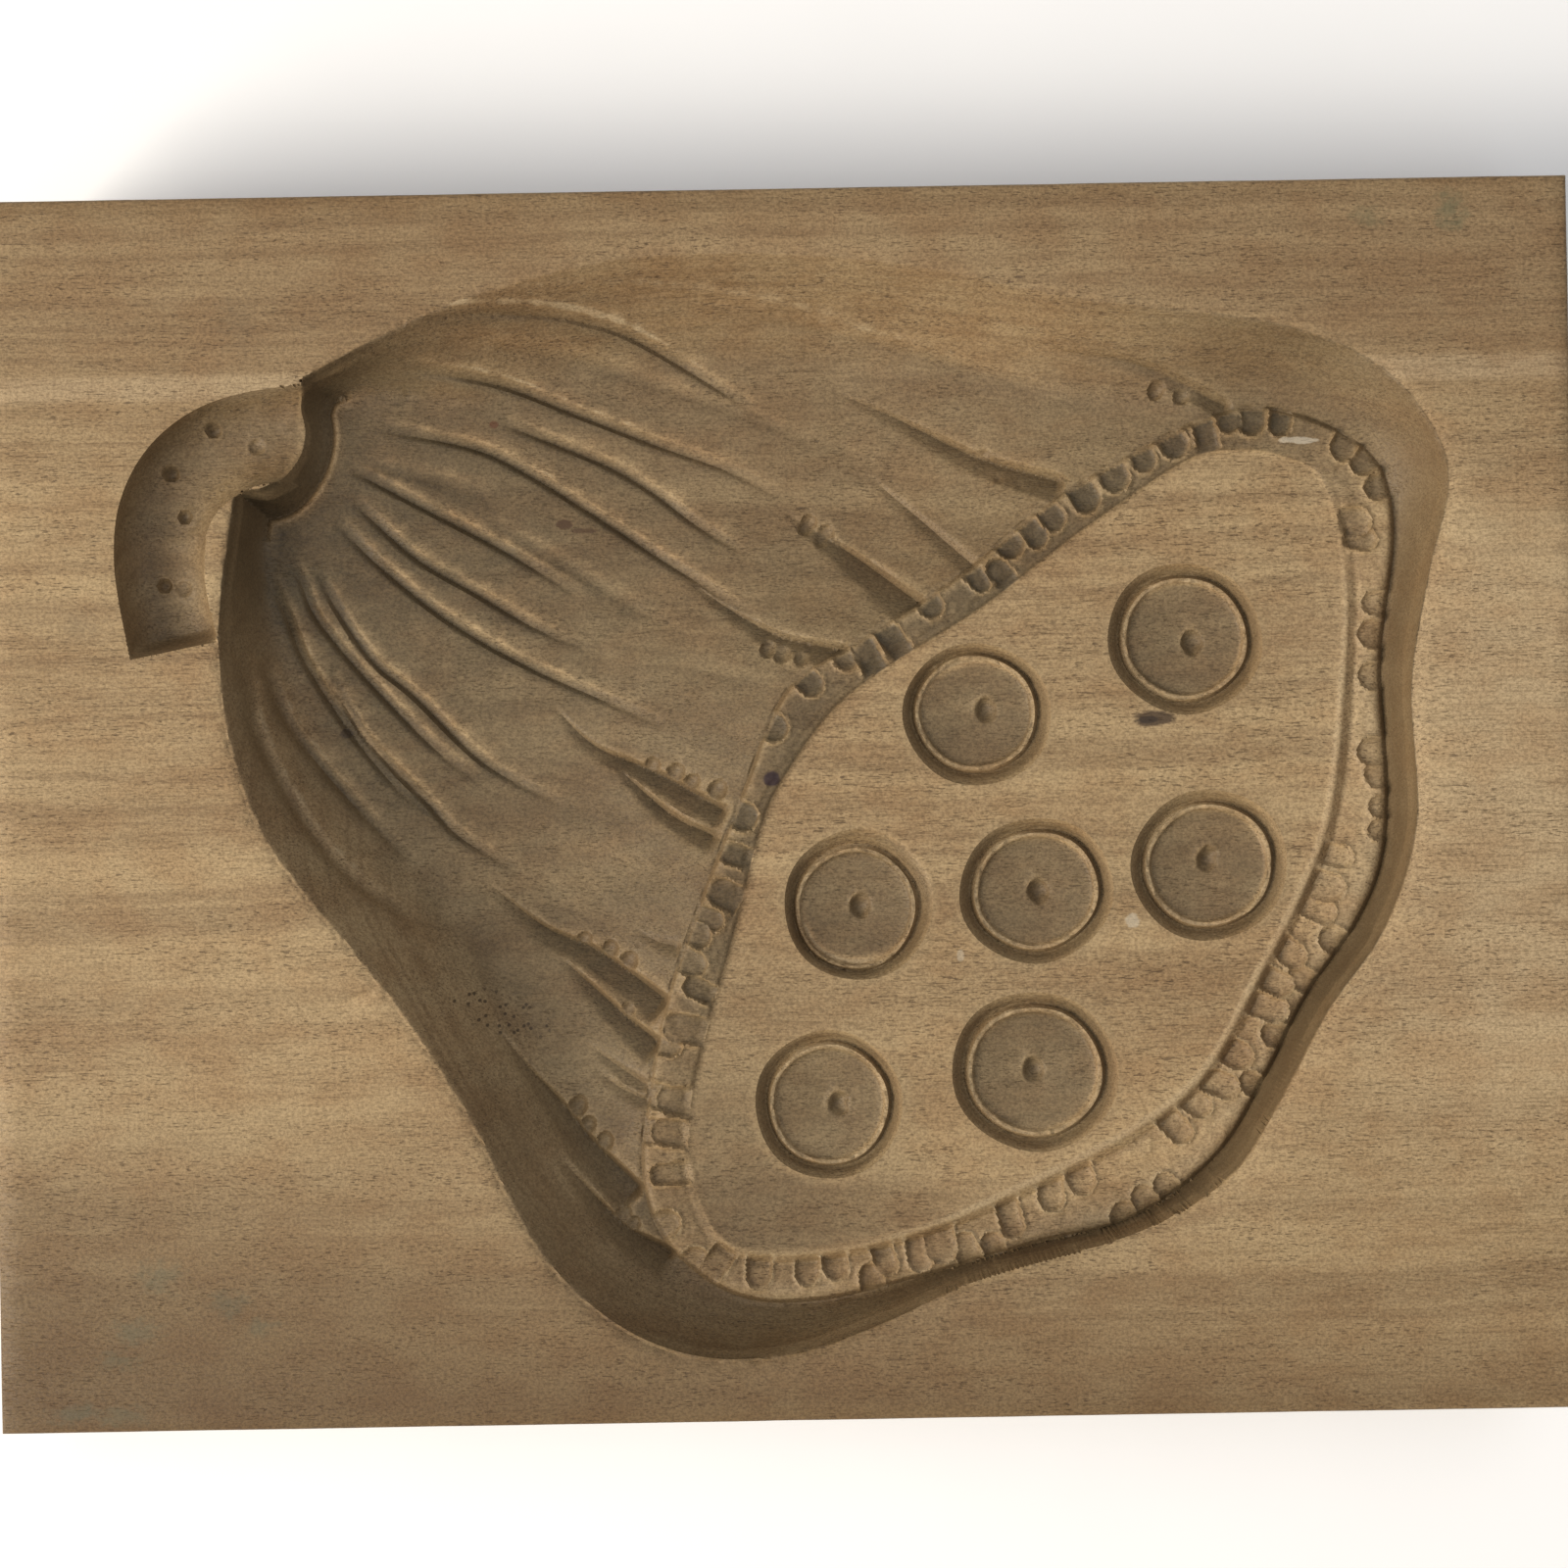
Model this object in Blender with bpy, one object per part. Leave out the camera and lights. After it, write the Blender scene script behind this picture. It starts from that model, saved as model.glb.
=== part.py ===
"""A wooden butter mold: one thick plank with a seed pod hollowed out of its upper face.

The hollow is the pod's negative. A bowl-shaped body surrounds a raised rim band, the flat seed face lies
one step inside the rim, seven ringed pits hold the seeds, and a hooked channel is the stem. The rim band
is tilted: it lies above the seed face on the upper left and below it on the lower right.
The whole mold is a single piece of wood, so there is one solid.

Frame, in metres: the origin is the centre of the plank's flat back, +X runs along the grain, +Z points
out of the carved face.
"""

from math import pi

import bmesh
import bpy
import numpy as np
from mathutils import Matrix, Vector

MM = 0.001

# The plank.
PLANK_LENGTH = 324 * MM
PLANK_WIDTH = 252 * MM
PLANK_THICKNESS = 40 * MM
EDGE_EASING = 1.0 * MM

# Depths below the carved face.
SEED_FACE_DEPTH = 13.0
RIM_DEPTH = 11.8
RIM_TILT = 2.0
RIM_TILT_FROM, RIM_TILT_TO = 20.0, 75.0
FOOT_BELOW_RIM = 2.4
NECK_DEPTH = 14.0
BODY_DEPTH = 21.0
STEM_DEPTH = 8.5

# How wide the walls and steps of the hollow are, seen from above.
WALL_WIDTH = 20.0
WALL_EASE = 1.7
NECK_WALL_WIDTH = 4.5
RIM_STEP = 1.8
FACE_STEP_OUTSIDE = 1.3
FACE_STEP_INSIDE = 0.9

# The body's floor swells to its greatest depth where the body is wide. At the neck it is shallow and its
# wall is cut almost straight down; both fade out with the distance from the neck's middle.
WIDE_BODY = 60.0
NARROW_BODY = 12.0
SWELL_ROUNDNESS = 0.8
NECK = np.array((-103.0, 76.0))
NECK_RADIUS = 14.0
NECK_FADE = 66.0
NECK_REACH = 80.0

STATIONS = 144
BODY_ROWS = (0.0, 0.012, 0.035, 0.075, 0.13, 0.2, 0.3, 0.45, 0.62, 0.82, 1.0)
ABOVE = 2.0

# Outlines seen from above, in millimetres, anticlockwise. A point given twice is a sharp corner.
POD_OUTLINE = (
    (-96.5, 89), (-96.5, 89), (-98.5, 84), (-98, 79), (-99, 74), (-102, 69), (-105.5, 66.5),
    (-111, 66), (-111, 66), (-112.5, 57.5), (-114.5, 44), (-115, 32), (-113, 14), (-107.5, -3),
    (-99, -16), (-88.5, -29), (-76.5, -45), (-65, -64), (-57, -81), (-47.5, -96), (-33, -108),
    (-16.5, -113.5), (1, -112.5), (20, -106), (39, -97.5), (70, -89), (89.5, -78), (99.5, -64),
    (110.5, -44.5), (122.5, -27.5), (129.5, -6), (129, 23), (133, 46), (137, 62.5), (134, 75),
    (122, 88.5), (100.5, 97), (63, 102.5), (28, 110), (-2, 113), (-34, 112), (-62, 105), (-82, 96.5),
)
RIM_OUTLINE = (
    (91.5, 80), (60, 64.5), (38.5, 48), (19.5, 36), (1.5, 24.5), (-8.5, 3), (-13.5, -9),
    (-20.5, -27), (-25.5, -41.5), (-29, -58), (-31, -77), (-26, -92), (-12, -103), (5, -104.5),
    (26.5, -100), (50.5, -93.5), (72.5, -88), (90, -75), (100.5, -58.5), (109, -42.5), (120, -27),
    (125.5, -14), (127, 2), (126, 28), (129, 55.5), (124.5, 71), (108, 80),
)
SEED_FACE_OUTLINE = (
    (84.5, 70), (63, 56), (42, 40.5), (21.5, 28), (10, 19), (0, 5.5), (-5, -5), (-11, -27),
    (-16.5, -45), (-21, -64.5), (-19.5, -81), (-12, -92.5), (8, -93.5), (30, -88.5), (51, -80),
    (72, -69.5), (87, -57.5), (99.5, -36), (108, -20), (114, -4), (117, 18), (118.5, 45.5),
    (114, 65.5), (105.5, 71), (95, 72.5),
)
# Where the rays that carry the pod's stations start.
POD_CENTRE = np.array((45.0, -10.0))

# Seed pits: centre x, centre y, half width along x, half width along y.
SEEDS = (
    (84.5, 33.2, 16.2, 15.8),
    (40.8, 18.0, 15.8, 14.7),
    (15.3, -21.2, 15.8, 15.6),
    (52.5, -19.0, 16.2, 15.2),
    (88.8, -14.3, 16.2, 16.0),
    (8.3, -63.1, 15.2, 15.8),
    (51.6, -56.9, 17.4, 16.8),
)
# One pit's profile as (share of the pit's radius, depth below the seed face) from the centre outwards.
PIT_PROFILE = ((0.0, 5.7), (0.14, 4.1), (0.72, 3.1), (0.79, 2.1), (0.86, 3.4), (1.0, 0.0))
PIT_SEGMENTS = 36

# The stem channel's centre line from its closed end into the pod, and its half width there.
STEM_LINE = (
    (-124.0, 33.5, 9.0),
    (-126.0, 44.0, 9.0),
    (-126.8, 52.5, 9.1),
    (-125.6, 61.0, 9.4),
    (-121.5, 68.5, 9.6),
    (-115.0, 73.8, 9.6),
    (-107.0, 76.6, 9.5),
    (-96.0, 78.0, 9.5),
)
STEM_SECTIONS = 22
STEM_SIDES = 10


def closed_curve(points, count):
    """A smooth closed curve through the points: each stretch is the cubic whose slope at a point is
    half the step from the point before it to the point after it."""
    p = np.array(points, float)
    place = np.arange(count) / count * len(p)
    start = place.astype(int)
    t = (place - start)[:, None]
    a, b, c, d = (p[(start + k) % len(p)] for k in (-1, 0, 1, 2))
    return b + t * (c - a) / 2 + t**2 * (a - 2.5 * b + 2 * c - d / 2) + t**3 * (3 * b - a - 3 * c + d) / 2


def open_curve(points, count):
    """The same cubic through the points of an open line, whose ends are carried on in a straight line."""
    p = np.array(points, float)
    p = np.vstack((2 * p[0] - p[1], p, 2 * p[-1] - p[-2]))
    place = np.linspace(0, len(p) - 3 - 1e-9, count)
    start = place.astype(int)
    t = (place - start)[:, None]
    a, b, c, d = (p[start + k] for k in range(4))
    return b + t * (c - a) / 2 + t**2 * (a - 2.5 * b + 2 * c - d / 2) + t**3 * (3 * b - a - 3 * c + d) / 2


def stations_along(curve, count):
    """Points spaced evenly along a closed curve."""
    ring = np.vstack((curve, curve[:1]))
    along = np.concatenate(([0.0], np.cumsum(np.linalg.norm(np.diff(ring, axis=0), axis=1))))
    at = np.arange(count) / count * along[-1]
    return np.stack([np.interp(at, along, ring[:, k]) for k in (0, 1)], axis=1)


def crossing_of_rays(outline, angles):
    """Where a ray from the pod's centre at each angle crosses an outline that goes once round it."""
    ring = closed_curve(outline, 1200) - POD_CENTRE
    turn = np.arctan2(ring[:, 1], ring[:, 0])
    order = np.argsort(turn)
    radius = np.interp(angles, turn[order], np.linalg.norm(ring, axis=1)[order], period=2 * pi)
    return POD_CENTRE + radius[:, None] * np.stack((np.cos(angles), np.sin(angles)), axis=1)


def smoothstep(value, start, end):
    """0 up to the start, 1 from the end on, and 3t^2 - 2t^3 between them."""
    t = np.clip((value - start) / (end - start), 0, 1)
    return t * t * (3 - 2 * t)


def rim_depth(points):
    """Depth of the tilted rim band at places seen from above."""
    across = (points[:, 0] - points[:, 1]) / 2**0.5
    return RIM_DEPTH + RIM_TILT * smoothstep(across, RIM_TILT_FROM, RIM_TILT_TO)


def wall_share(distance, width):
    """How much of the full depth a scooped wall has reached at a distance in from its edge: 0 to 1."""
    return 1 - (1 - np.clip(distance / width, 0, 1)) ** WALL_EASE


def body_depth(share, outer, inner):
    """Depth of the pod's body at a share of the way from its outline to the rim: the floor swells in the
    middle where the body is wide, and the wall leads down to it from the outline."""
    width = np.linalg.norm(outer - inner, axis=1)
    place = outer + (inner - outer) * share
    from_neck = np.linalg.norm(place - NECK, axis=1)
    foot = rim_depth(place) + FOOT_BELOW_RIM
    breadth = np.clip((width - NARROW_BODY) / WIDE_BODY, 0, 1)
    open_up = np.clip(from_neck / NECK_REACH, 0, 1)
    swell = np.sin(pi * np.clip(share, 0, 1)) ** SWELL_ROUNDNESS * breadth * open_up
    floor = foot + (BODY_DEPTH - foot) * swell
    floor += (NECK_DEPTH - foot) * (1 - open_up) * (1 - share)
    fade = smoothstep(from_neck, NECK_RADIUS, NECK_RADIUS + NECK_FADE)
    wall = NECK_WALL_WIDTH + (WALL_WIDTH - NECK_WALL_WIDTH) * fade
    return floor * wall_share(share * width, np.minimum(wall, width))


def in_from(outline, width):
    """The outline moved inwards, towards the pod's centre, by a width."""
    inwards = POD_CENTRE - outline
    return outline + inwards * (width / np.linalg.norm(inwards, axis=1))[:, None]


def mesh_object(name, bm):
    """A closed bmesh as an object whose faces point outwards."""
    bmesh.ops.recalc_face_normals(bm, faces=bm.faces[:])
    mesh = bpy.data.meshes.new(name)
    bm.to_mesh(mesh)
    bm.free()
    made = bpy.data.objects.new(name, mesh)
    bpy.context.scene.collection.objects.link(made)
    return made


def skin(name, loops):
    """One closed solid over a row of loops with equally many points, its first and last loops capped."""
    bm = bmesh.new()
    rings = [[bm.verts.new(Vector(point) * MM) for point in loop] for loop in loops]
    for low, high in zip(rings, rings[1:]):
        for k in range(len(low)):
            after = (k + 1) % len(low)
            bm.faces.new((low[k], low[after], high[after], high[k]))
    bm.faces.new(rings[0])
    bm.faces.new(rings[-1])
    return mesh_object(name, bm)


def at_depth(outline, depth):
    """An outline's points set at a depth below the carved face."""
    z = PLANK_THICKNESS / MM - np.broadcast_to(depth, len(outline))
    return np.column_stack((outline, z))


def pod_cutter():
    """The pod's hollow as a solid: the body's rows run in from the outline to the rim's foot, then up over
    the rim band and down to the seed face."""
    outer = stations_along(closed_curve(POD_OUTLINE, 1600), STATIONS)
    angles = np.arctan2(*(outer - POD_CENTRE).T[::-1])
    rim = crossing_of_rays(RIM_OUTLINE, angles)
    face = crossing_of_rays(SEED_FACE_OUTLINE, angles)
    loops = [at_depth(outer, -ABOVE)]
    for share in BODY_ROWS:
        loops.append(at_depth(outer + (rim - outer) * share, body_depth(share, outer, rim)))
    rim_edge = in_from(rim, RIM_STEP)
    face_foot = in_from(face, -FACE_STEP_OUTSIDE)
    loops.append(at_depth(rim_edge, rim_depth(rim_edge)))
    loops.append(at_depth(face_foot, rim_depth(face_foot)))
    loops.append(at_depth(in_from(face, FACE_STEP_INSIDE), SEED_FACE_DEPTH))
    return skin("pod_cutter", loops)


def stem_cutter():
    """The stem's channel as a solid: a half ellipse across the centre line, carried along it."""
    line = open_curve(STEM_LINE, STEM_SECTIONS)
    ahead = np.gradient(line[:, :2], axis=0)
    ahead /= np.linalg.norm(ahead, axis=1)[:, None]
    side = np.stack((-ahead[:, 1], ahead[:, 0]), axis=1)
    turn = np.linspace(0, pi, STEM_SIDES + 1)
    loops = []
    for centre, across in zip(line, side):
        points = centre[:2] + np.outer(np.cos(turn) * centre[2], across)
        section = at_depth(points, STEM_DEPTH * np.sin(turn) ** 0.8)
        top = at_depth(points[[-1, 0]], -ABOVE)
        loops.append(np.vstack((section, top)))
    return skin("stem_cutter", loops)


def seed_cutters():
    """The seven seed pits as turned solids in one mesh: the pit's profile spun about its own axis."""
    bm = bmesh.new()
    surface = PLANK_THICKNESS / MM - SEED_FACE_DEPTH
    for x, y, half_x, half_y in SEEDS:
        profile = [(0.0, -1.0)] + [(1.0, -1.0)] + list(reversed(PIT_PROFILE))
        verts = [bm.verts.new((share, 0, -depth)) for share, depth in profile]
        edges = [bm.edges.new(pair) for pair in zip(verts, verts[1:])]
        bmesh.ops.spin(
            bm, geom=verts + edges, axis=(0, 0, 1), cent=(0, 0, 0), angle=2 * pi,
            steps=PIT_SEGMENTS, use_merge=True,
        )
        new = [v for v in bm.verts if not v.tag]
        place = Matrix.Translation((x * MM, y * MM, surface * MM)) @ Matrix.Diagonal(
            (half_x * MM, half_y * MM, MM, 1)
        )
        bmesh.ops.transform(bm, matrix=place, verts=new)
        for vert in new:
            vert.tag = True
    bmesh.ops.remove_doubles(bm, verts=bm.verts[:], dist=0.01 * MM)
    return mesh_object("seed_cutters", bm)


def wood():
    """Oiled, pale brown hardwood."""
    material = bpy.data.materials.new("wood")
    material.use_nodes = True
    shader = material.node_tree.nodes["Principled BSDF"]
    shader.inputs["Base Color"].default_value = (0.33, 0.235, 0.135, 1)
    shader.inputs["Roughness"].default_value = 0.6
    return material


def mold_board():
    """The plank with its edges eased, less the pod, the stem and the seed pits."""
    bm = bmesh.new()
    size = Matrix.Diagonal((PLANK_LENGTH, PLANK_WIDTH, PLANK_THICKNESS, 1))
    place = Matrix.Translation((0, 0, PLANK_THICKNESS / 2))
    bmesh.ops.create_cube(bm, size=1, matrix=place @ size)
    bmesh.ops.bevel(bm, geom=bm.edges[:], offset=EDGE_EASING, segments=2, profile=0.5, affect="EDGES")
    board = mesh_object("mold_board", bm)
    board.data.materials.append(wood())
    for cutter in (pod_cutter(), stem_cutter(), seed_cutters()):
        cut = board.modifiers.new(cutter.name, "BOOLEAN")
        cut.operation = "DIFFERENCE"
        cut.solver = "EXACT"
        cut.object = cutter
        cutter.display_type = "WIRE"
        cutter.hide_render = True
    return board


for old in list(bpy.data.objects):
    bpy.data.objects.remove(old, do_unlink=True)
mold_board()
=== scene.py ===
# %% [markdown]
# # A carved wooden butter mold
#
# The object is one thick plank of pale hardwood. A seed pod has been hollowed out of its face with knives
# and gouges, so that butter pressed into the hollow comes out as a pod in relief. We dress the packed
# model, whose single solid has the right size but plain walls, with one finely carved surface, and we
# give that surface the look of oiled, handled wood.
#
# The whole carving is written as one function: the depth below the face at any place seen from above.
# Everything else, the mesh, the shade painted into the hollows and the paler edges, is worked out from that
# function.

# %% The frame and the libraries
from math import atan, cos, pi, radians, sin

import bpy
import numpy as np
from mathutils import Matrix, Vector
from mathutils.geometry import delaunay_2d_cdt


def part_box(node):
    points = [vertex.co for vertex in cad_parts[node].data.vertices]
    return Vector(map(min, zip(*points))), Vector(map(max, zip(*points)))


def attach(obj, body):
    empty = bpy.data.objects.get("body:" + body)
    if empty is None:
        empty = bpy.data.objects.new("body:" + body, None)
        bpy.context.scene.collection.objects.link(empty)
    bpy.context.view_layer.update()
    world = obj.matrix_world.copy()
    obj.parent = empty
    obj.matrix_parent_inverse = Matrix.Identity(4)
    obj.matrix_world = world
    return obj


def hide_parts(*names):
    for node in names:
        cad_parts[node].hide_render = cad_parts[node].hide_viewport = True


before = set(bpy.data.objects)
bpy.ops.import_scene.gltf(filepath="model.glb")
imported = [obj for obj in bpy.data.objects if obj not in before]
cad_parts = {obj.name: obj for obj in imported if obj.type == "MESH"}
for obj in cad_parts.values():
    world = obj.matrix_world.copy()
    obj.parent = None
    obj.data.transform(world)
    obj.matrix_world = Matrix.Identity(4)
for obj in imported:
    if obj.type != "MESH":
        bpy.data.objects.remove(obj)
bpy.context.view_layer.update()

MM = 0.001
low, high = (np.array(corner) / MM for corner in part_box("mold_board"))
LENGTH, WIDTH, THICKNESS = high - low
print(f"plank {LENGTH:.0f} x {WIDTH:.0f} x {THICKNESS:.0f} mm")

# %% [markdown]
# ## Lines on the plank
#
# A carver draws the design on the face first. Each drawn line here is a short list of places in
# millimetres, measured from the middle of the plank, with a smooth curve through them. The curve is made
# of cubics whose slope at a place is half the step from the place before it to the place after it, so a
# place given twice makes a sharp corner.

# %% Smooth curves and even steps along them
def smooth(points, count, closed=False):
    """Places on the curve through the points: b + t (c-a)/2 + t^2 (a - 5b/2 + 2c - d/2) +
    t^3 (3b - a - 3c + d)/2 between the second and third of four neighbours a, b, c and d."""
    p = np.array(points, float)
    if closed:
        place = np.arange(count) / count * len(p)
        near = [(place.astype(int) + k) % len(p) for k in (-1, 0, 1, 2)]
    else:
        p = np.vstack((2 * p[0] - p[1], p, 2 * p[-1] - p[-2]))
        place = np.linspace(0, len(p) - 3 - 1e-9, count)
        near = [place.astype(int) + k for k in range(4)]
    t = (place % 1)[:, None]
    a, b, c, d = (p[index] for index in near)
    return b + t * (c - a) / 2 + t**2 * (a - 2.5 * b + 2 * c - d / 2) + t**3 * (3 * b - a - 3 * c + d) / 2


def evenly(points, step, closed=False):
    """Places about one step apart along the smooth curve through the points."""
    line = smooth(points, 40 * len(points), closed)
    ring = np.vstack((line, line[:1])) if closed else line
    along = np.concatenate(([0.0], np.cumsum(np.linalg.norm(np.diff(ring, axis=0), axis=1))))
    count = max(3, round(along[-1] / step))
    at = np.arange(count) / count * along[-1] if closed else np.linspace(0, along[-1], count + 1)
    return np.stack([np.interp(at, along, ring[:, k]) for k in range(ring.shape[1])], axis=1)


def directions(line, closed=False):
    """The unit direction of travel at each place of a line."""
    ahead = (np.roll(line, -1, 0) - np.roll(line, 1, 0)) if closed else np.gradient(line, axis=0)
    return ahead / np.maximum(np.linalg.norm(ahead, axis=1), 1e-9)[:, None]


def shifted(line, offset, closed=False):
    """The line moved sideways by an offset, to the left of its direction of travel."""
    ahead = directions(line, closed)
    return line + offset * np.stack((-ahead[:, 1], ahead[:, 0]), axis=1)


def beside(points, line, closed=False):
    """Where each point stands beside a line of short straight stretches: its distance to the left of the
    line (negative to the right), and how far along the line its nearest place is."""
    start = line if closed else line[:-1]
    step = (np.roll(line, -1, 0) if closed else line[1:]) - start
    length = np.linalg.norm(step, axis=1)
    before = np.cumsum(length) - length
    left, along = np.empty(len(points)), np.empty(len(points))
    for first in range(0, len(points), 4000):
        block = slice(first, first + 4000)
        x = points[block, 0][:, None] - start[:, 0]
        y = points[block, 1][:, None] - start[:, 1]
        share = np.clip((x * step[:, 0] + y * step[:, 1]) / length**2, 0, 1)
        gap = (x - share * step[:, 0]) ** 2 + (y - share * step[:, 1]) ** 2
        best = gap.argmin(axis=1)
        row = np.arange(len(best))
        cross = step[best, 0] * y[row, best] - step[best, 1] * x[row, best]
        left[block] = np.sqrt(gap[row, best]) * np.where(cross < 0, -1, 1)
        along[block] = before[best] + share[row, best] * length[best]
    return left, along


def inside(points, line, middle):
    """Whether each point is inside a closed line that a ray from the middle crosses only once: its
    distance from the middle is less than the line's in the same direction."""
    ring = line - middle
    turn = np.arctan2(ring[:, 1], ring[:, 0])
    order = np.argsort(turn)
    away = points - middle
    reach = np.interp(np.arctan2(away[:, 1], away[:, 0]), turn[order],
                      np.linalg.norm(ring, axis=1)[order], period=2 * pi)
    return np.linalg.norm(away, axis=1) < reach


# %% The outlines of the pod, its rim and its seed face
POD_OUTLINE = (
    (-96.5, 89), (-96.5, 89), (-98.5, 84), (-98, 79), (-99, 74), (-102, 69), (-105.5, 66.5),
    (-111, 66), (-111, 66), (-112.5, 57.5), (-114.5, 44), (-115, 32), (-113, 14), (-107.5, -3),
    (-99, -16), (-88.5, -29), (-76.5, -45), (-65, -64), (-57, -81), (-47.5, -96), (-33, -108),
    (-16.5, -113.5), (1, -112.5), (20, -106), (39, -97.5), (70, -89), (89.5, -78), (99.5, -64),
    (110.5, -44.5), (122.5, -27.5), (129.5, -6), (129, 23), (133, 46), (137, 62.5), (134, 75),
    (122, 88.5), (100.5, 97), (63, 102.5), (28, 110), (-2, 113), (-34, 112), (-62, 105), (-82, 96.5),
)
RIM_OUTLINE = (
    (91.5, 80), (60, 64.5), (38.5, 48), (19.5, 36), (1.5, 24.5), (-8.5, 3), (-13.5, -9),
    (-20.5, -27), (-25.5, -41.5), (-29, -58), (-31, -77), (-26, -92), (-12, -103), (5, -104.5),
    (26.5, -100), (50.5, -93.5), (72.5, -88), (90, -75), (100.5, -58.5), (109, -42.5), (120, -27),
    (125.5, -14), (127, 2), (126, 28), (129, 55.5), (124.5, 71), (108, 80),
)
SEED_FACE_OUTLINE = (
    (84.5, 70), (63, 56), (42, 40.5), (21.5, 28), (10, 19), (0, 5.5), (-5, -5), (-11, -27),
    (-16.5, -45), (-21, -64.5), (-19.5, -81), (-12, -92.5), (8, -93.5), (30, -88.5), (51, -80),
    (72, -69.5), (87, -57.5), (99.5, -36), (108, -20), (114, -4), (117, 18), (118.5, 45.5),
    (114, 65.5), (105.5, 71), (95, 72.5),
)
POD_MIDDLE = np.array((45.0, -10.0))
pod_line = evenly(POD_OUTLINE, 1.0, closed=True)
rim_line = evenly(RIM_OUTLINE, 0.6, closed=True)
face_line = evenly(SEED_FACE_OUTLINE, 0.8, closed=True)
print("stations on pod, rim and face:", len(pod_line), len(rim_line), len(face_line))

# %% [markdown]
# ## The pod's body
#
# The body is a bowl that surrounds the seed face. Its wall drops from the outline in a rounded sweep, the
# floor swells down where the pod is wide, and it comes up again to the foot of the rim. Near the neck the
# wall was cut straight down with a knife, so it is much narrower there.

# %% Depths of the floors and widths of the walls
SEED_FACE_DEPTH = 13.0
RIM_DEPTH = 11.8
RIM_TILT = 2.0
FOOT_BELOW_RIM = 2.4
NECK_DEPTH = 14.0
BODY_DEPTH = 21.0
WALL_WIDTH = 20.0
NECK_WALL_WIDTH = 4.5
WALL_EASE = 1.7
WIDE_BODY = 60.0
NARROW_BODY = 12.0
NECK = (-103.0, 76.0)
NECK_RADIUS = 14.0
NECK_FADE = 66.0
NECK_REACH = 80.0
RIM_STEP = 1.8
SEED_FACE_STEP = 2.2


def ramp(value, start, end):
    """0 at or before the start, 1 at or past the end, and the smoothstep curve 3t^2 - 2t^3 between."""
    t = np.clip((value - start) / (end - start), 0, 1)
    return t * t * (3 - 2 * t)


def lower_right(points):
    """0 along the upper left of the rim, 1 along its lower right: the ramp of (x - y) / sqrt 2."""
    return ramp((points[:, 0] - points[:, 1]) / 2**0.5, 20, 75)


def rim_depth(points):
    """Depth of the rim band, which lies above the seed face on the upper left and below it on the right."""
    return RIM_DEPTH + RIM_TILT * lower_right(points)


def wall_share(distance, width):
    """The share of the full depth that a scooped wall has reached: 1 - (1 - d/w)^e."""
    return 1 - (1 - np.clip(distance / width, 0, 1)) ** WALL_EASE


def body_depth(points, from_edge, from_rim, start):
    """Depth of the bowl at points inside the pod and outside the rim, from how far each point is from
    the pod's outline and from the rim. The floor is foot + (deepest - foot) sin(pi share)^0.8, and the
    wall leads down to it from the depth that the wood has at the outline, which is the start."""
    width = from_edge + from_rim
    share = from_edge / np.maximum(width, 1e-6)
    from_neck = np.hypot(points[:, 0] - NECK[0], points[:, 1] - NECK[1])
    open_up = np.clip(from_neck / NECK_REACH, 0, 1)
    breadth = np.clip((width - NARROW_BODY) / WIDE_BODY, 0, 1)
    foot = rim_depth(points) + FOOT_BELOW_RIM * (0.35 + 0.4 * lower_right(points))
    floor = foot + (BODY_DEPTH - foot) * np.sin(pi * share) ** 0.8 * breadth * open_up
    floor += (NECK_DEPTH - foot) * (1 - open_up) * (1 - share)
    spread = ramp(from_neck, NECK_RADIUS, NECK_RADIUS + NECK_FADE * (1 - 0.6 * ramp(points[:, 1], 74, 90)))
    wall = NECK_WALL_WIDTH + (WALL_WIDTH - NECK_WALL_WIDTH) * spread
    reached = wall_share(from_edge, np.minimum(wall, np.maximum(width, 1e-6)))
    lip = from_edge - NECK_WALL_WIDTH
    bruise = 0.5 * np.exp(-((lip / 0.35) ** 2)) - 0.7 * np.exp(-(((lip - 1.4) / 0.7) ** 2))
    at_neck = 1 - ramp(from_neck, NECK_RADIUS, NECK_RADIUS + 12)
    return start + (floor - start) * reached + bruise * at_neck


# %% [markdown]
# ## Unevenness
#
# Nothing that is cut by hand is quite regular. One smooth noise, random heights on a square lattice with
# soft blends between them, is used at several sizes wherever the real surface wanders.

# %% Smooth noise on the plan
def wander(x, y, size, seed):
    """Noise from -1 to 1 whose bumps are about one size across: four lattice heights around a place,
    blended by the smoothstep curve in x and in y."""
    heights = np.random.default_rng(seed).uniform(-1, 1, (128, 128))
    u, v = x / size + 64, y / size + 64
    i, j = np.floor(u).astype(int), np.floor(v).astype(int)
    s, t = u - i, v - j
    s, t = s * s * (3 - 2 * s), t * t * (3 - 2 * t)
    corner = [heights[(i + a) % 128, (j + b) % 128] for a, b in ((0, 0), (1, 0), (0, 1), (1, 1))]
    return (corner[0] * (1 - s) + corner[1] * s) * (1 - t) + (corner[2] * (1 - s) + corner[3] * s) * t


# %% [markdown]
# ## Veins
#
# The long lines that fan out from the neck were cut with a small gouge, held so that one side of each cut
# stands steep and the other slopes away to a sharp, torn crest. A vein is a line with that section carried
# along it, deepest in the middle of its length and running out to nothing at both ends.

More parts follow.
